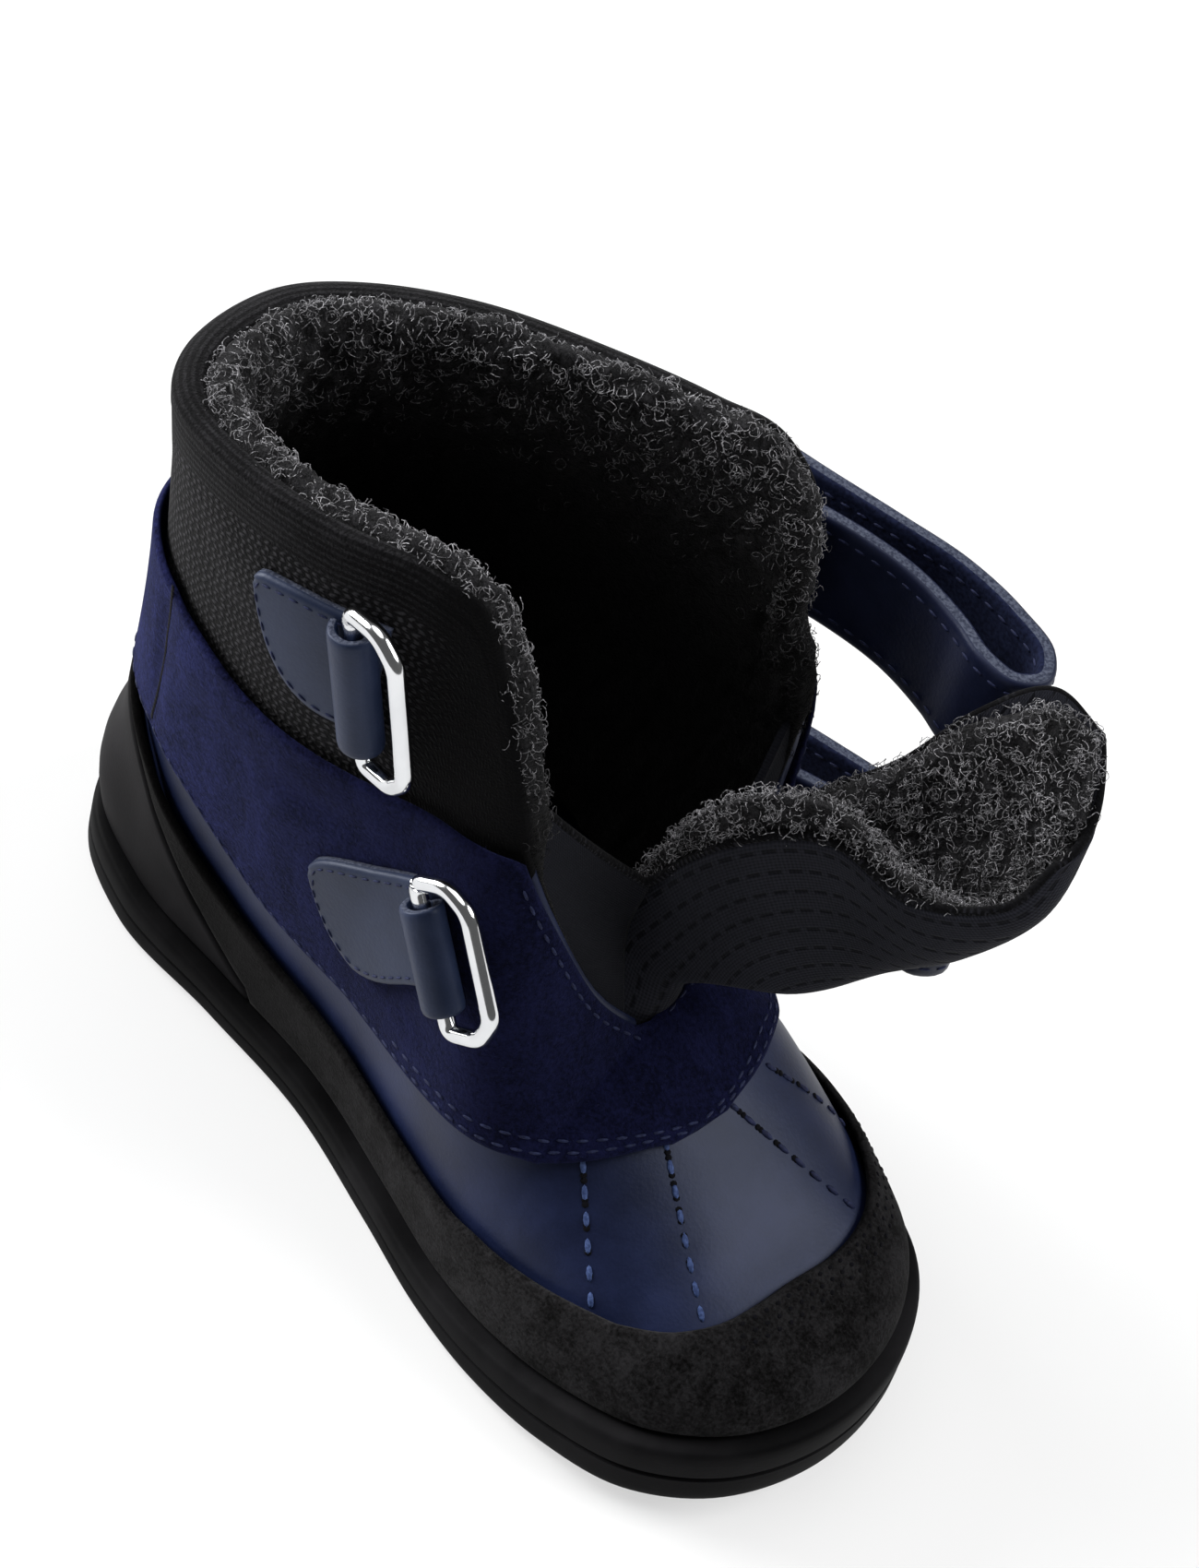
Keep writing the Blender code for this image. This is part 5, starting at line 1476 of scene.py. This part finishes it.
# stitches, dots, needle holes and a painted seam shadow
seams = {
    "proud": 0.02,      # how far a thread stands over its panel
    # toe lines in plan: from x, y to x, y
    "toe": ((35.6, -17.5, 48.9, -24.9), (40.1, -5.9, 60.5, -14.7), (40.8, 7.0, 59.5, 16.3),
            (38.6, 17.2, 49.0, 28.4)),
    "toeSpacing": 3.3, "toeStitch": (2.5, 0.95, 0.65), "toeProud": 0.06, "hole": (1.0, 1.1, 0.4),
    "suedeSpacing": 2.7, "suedeStitch": (1.9, 0.5, 0.4), "suedeInset": 1.7, "secondRow": 2.3,
    "suedeStarts": (0.045, 0.52), "suedeEnd": 0.006, "throatReach": (0.105, 0.004),
    "leafSpacing": 2.3, "leafStitch": (1.6, 0.42, 0.36), "leafInset": 1.5, "leafReach": (0.10, 0.90),
    "strapSpacing": 2.8, "strapStitch": (1.9, 0.5, 0.4), "strapInset": 2.2, "strapRows": 41, "strapTrim": 3,
    "dotSpacing": 2.1, "dot": (0.9, 0.7, 0.3), "dotRows": (1.7, 3.4, 5.0), "dotReach": (0.92, 1.38),
    # the seam beside the heel strip on the inner side, drawn as a dark line that paints the gap's shadow:
    # from x, z to x, z
    "heelSeam": (-49.6, 85.5, -54.6, 50.5), "heelSpacing": 1.0, "heelLine": (1.6, 0.9, 0.3), "heelSink": 0.03,
}


def seamLine(along, share, height):
    # a line over a panel with its creases, and the way up at each point
    points, ups = wallLine(along, share, 0.0)
    return points + ups * (height - pressed(points))[:, None], ups


def sewToe():
    lines, holes = [], []
    half = seams["toeStitch"][0] / 2
    for ends in seams["toe"]:
        points, ups = seamLine(*lineOnWall(ends, 30, "toe"), seams["toeProud"])
        lines.append((points, ups))
        run = runLength(points)
        for shift in (half, seams["toeSpacing"] - half):
            spots = np.linspace(shift, run[-1], len(points))
            moved = np.column_stack([np.interp(spots, run, points[:, axis]) for axis in range(3)])
            holes.append((moved - ups * seams["proud"], ups))
    stitchObject("toeStitches", lines[:2], seams["toeSpacing"], seams["toeStitch"], "paleThread")
    stitchObject("toeTwists", lines[2:], seams["toeSpacing"], seams["toeStitch"], "thread")
    stitchObject("toeHoles", holes, seams["toeSpacing"], seams["hole"], "needleHoleAndGapShade")


def sewSuede():
    lines = []
    height = suedeTop + seams["proud"]
    insets = seams["suedeInset"], seams["suedeInset"] + seams["secondRow"]
    for throat, outer in ((innerThroat, False), (outerThroat, True)):
        for inset, start in zip(insets, seams["suedeStarts"]):
            along = np.linspace(start, throat + tipShare - seams["suedeEnd"], 120)
            along = 2.0 - along if outer else along
            low, _ = suedeLimits(along)
            shares, lengths = girths(along)
            girth = np.array([np.interp(value, shares, row) for value, row in zip(low, lengths)]) + inset
            lines.append(seamLine(along, np.minimum(shareAtGirth(along, girth), 0.995), height))
        reach, stop = seams["throatReach"]
        along = np.linspace(throat - reach, throat - stop, 60)
        along = 2.0 - along if outer else along
        share = shareBelowTop(along, overlays["edgeMargin"] + seams["suedeInset"])
        lines.append(seamLine(along, share, height))
    stitchObject("suedeStitches", lines, seams["suedeSpacing"], seams["suedeStitch"], "thread")


def sewLeaves():
    lines = []
    forth = np.linspace(*seams["leafReach"], 40)
    back = np.concatenate((forth, forth[::-1]))
    for name in ("upper", "lower"):
        _, span = leafPoint(name, back, back)
        edge = np.minimum(seams["leafInset"] / span, 0.5)
        flat, _ = leafPoint(name, back, np.where(np.arange(len(back)) < len(forth), 1 - edge, edge))
        along, share = findOnWall(flat[:, 0], flat[:, 1])
        lines.append(wallLine(along, share, tabs[name][3] + tabs["leafThick"] + seams["proud"]))
    stitchObject("leafStitches", lines, seams["leafSpacing"], seams["leafStitch"], "thread")


def sewStraps():
    lines = []
    steps = seams["strapRows"] - 1
    inset = round(math.acos(1 - 2 * seams["strapInset"] / straps["width"]) / math.pi * steps)
    kept = slice(seams["strapTrim"], -seams["strapTrim"])
    for name in ("upper", "lower"):
        grid = strapGrid(name, seams["strapRows"])
        normal = gridNormal(grid)
        for row in (inset, steps - inset):
            for face in (1.0, -1.0):
                up = normal[kept, row] * face
                lines.append((grid[kept, row] + up * (straps["thick"] / 2 + seams["proud"]), up))
    stitchObject("strapStitches", lines, seams["strapSpacing"], seams["strapStitch"], "thread")


def sewHeelAndRand():
    # the heel seam: a sunk dark line, a painted shadow in the gap beside the heel strip
    line = seamLine(*lineOnWall(seams["heelSeam"], 40), suedeTop - seams["heelSink"])
    stitchObject("heelSeam", [line], seams["heelSpacing"], seams["heelLine"], "needleHoleAndGapShade")
    lines = []
    along = np.linspace(*seams["dotReach"], 120)
    for inset in seams["dotRows"]:
        girth = readHeld(overlays["randTop"], sideShare(along)) - inset
        lines.append(wallLine(along, shareAtGirth(along, girth), overlays["gap"] + overlays["randThick"]))
    stitchObject("randDots", lines, seams["dotSpacing"], seams["dot"], "needleHoleAndGapShade")


# light and camera
def buildCamera():
    view = {"target": (-8.07, 20.28, 51.91), "azimuth": -54.18, "height": 48.97, "roll": 16.71,
            "distance": 495.8, "focal": 3610.51, "frameHeight": 1700.0}  # the last two in pixels
    azimuth, height, roll = (math.radians(view[key]) for key in ("azimuth", "height", "roll"))
    level = math.cos(height)
    back = Vector((level * math.cos(azimuth), level * math.sin(azimuth), math.sin(height)))
    right = (-back).cross(Vector((0, 0, 1))).normalized()
    up = right.cross(-back)
    turnedRight = math.cos(roll) * right + math.sin(roll) * up
    turnedUp = -math.sin(roll) * right + math.cos(roll) * up
    data = bpy.data.cameras.new("camera")
    data.sensor_fit = "VERTICAL"
    data.sensor_height = 36.0
    data.lens = view["focal"] * data.sensor_height / view["frameHeight"]
    data.clip_start, data.clip_end = 0.01, 50.0
    camera = bpy.data.objects.new("camera", data)
    matrix = Matrix((turnedRight, turnedUp, back)).transposed().to_4x4()
    matrix.translation = (Vector(view["target"]) + back * view["distance"]) * mm
    camera.matrix_world = matrix
    bpy.context.scene.collection.objects.link(camera)
    bpy.context.scene.camera = camera
    print("camera made")


def buildStage():
    stage = {"floor": 30.0, "world": 0.12, "tone": 0.35, "glow": 0.60,
             # name, direction that it comes from, width in degrees, strength
             "lamps": (("leftLamp", (-0.92, -0.26, 0.36), 40.0, 6.0),
                       ("rightLamp", (0.46, 0.53, 0.70), 34.0, 2.2),
                       ("topLamp", (-0.30, 0.05, 0.95), 50.0, 1.2))}
    mesh = bpy.data.meshes.new("floor")
    work = bmesh.new()
    bmesh.ops.create_grid(work, x_segments=1, y_segments=1, size=stage["floor"])
    work.to_mesh(mesh)
    work.free()
    tone, white = stage["tone"], (1.0, 1.0, 1.0, 1.0)
    fixed = {"Base Color": (tone, tone, tone, 1.0), "Roughness": 0.9, "Specular IOR Level": 0.0,
             "Emission Color": white, "Emission Strength": stage["glow"]}
    material, _, _ = startMaterial("paleFloor", fixed)
    floor = addObject("floor", mesh, material)
    world = bpy.data.worlds.new("studio")
    world.use_nodes = True
    sky = world.node_tree.nodes["Background"]
    sky.inputs["Color"].default_value = white
    rays = world.node_tree.nodes.new("ShaderNodeLightPath")
    seen = Wire(world.node_tree, rays.outputs["Is Camera Ray"])
    link(sky, "Strength", seen * (1.0 - stage["world"]) + stage["world"])
    bpy.context.scene.world = world
    for name, origin, width, strength in stage["lamps"]:
        data = bpy.data.lights.new(name, "SUN")
        data.angle = math.radians(width)
        data.energy = strength
        lamp = bpy.data.objects.new(name, data)
        lamp.rotation_mode = "QUATERNION"
        lamp.rotation_quaternion = (-Vector(origin)).to_track_quat("-Z", "Y")
        bpy.context.scene.collection.objects.link(lamp)
    bpy.context.scene.view_settings.view_transform = "Standard"
    print("stage made")


buildSole()
buildInsole()
buildUpper()
buildPanels()
buildCollarRoll()
buildLining()
buildTongue()
for side in ("medial", "lateral"):
    buildGusset(side)
for build in (buildTab, buildStrap):
    for name in ("upper", "lower"):
        build(name)
for sew in (sewToe, sewSuede, sewLeaves, sewStraps, sewHeelAndRand):
    sew()
print("stitches made")
buildCamera()
buildStage()
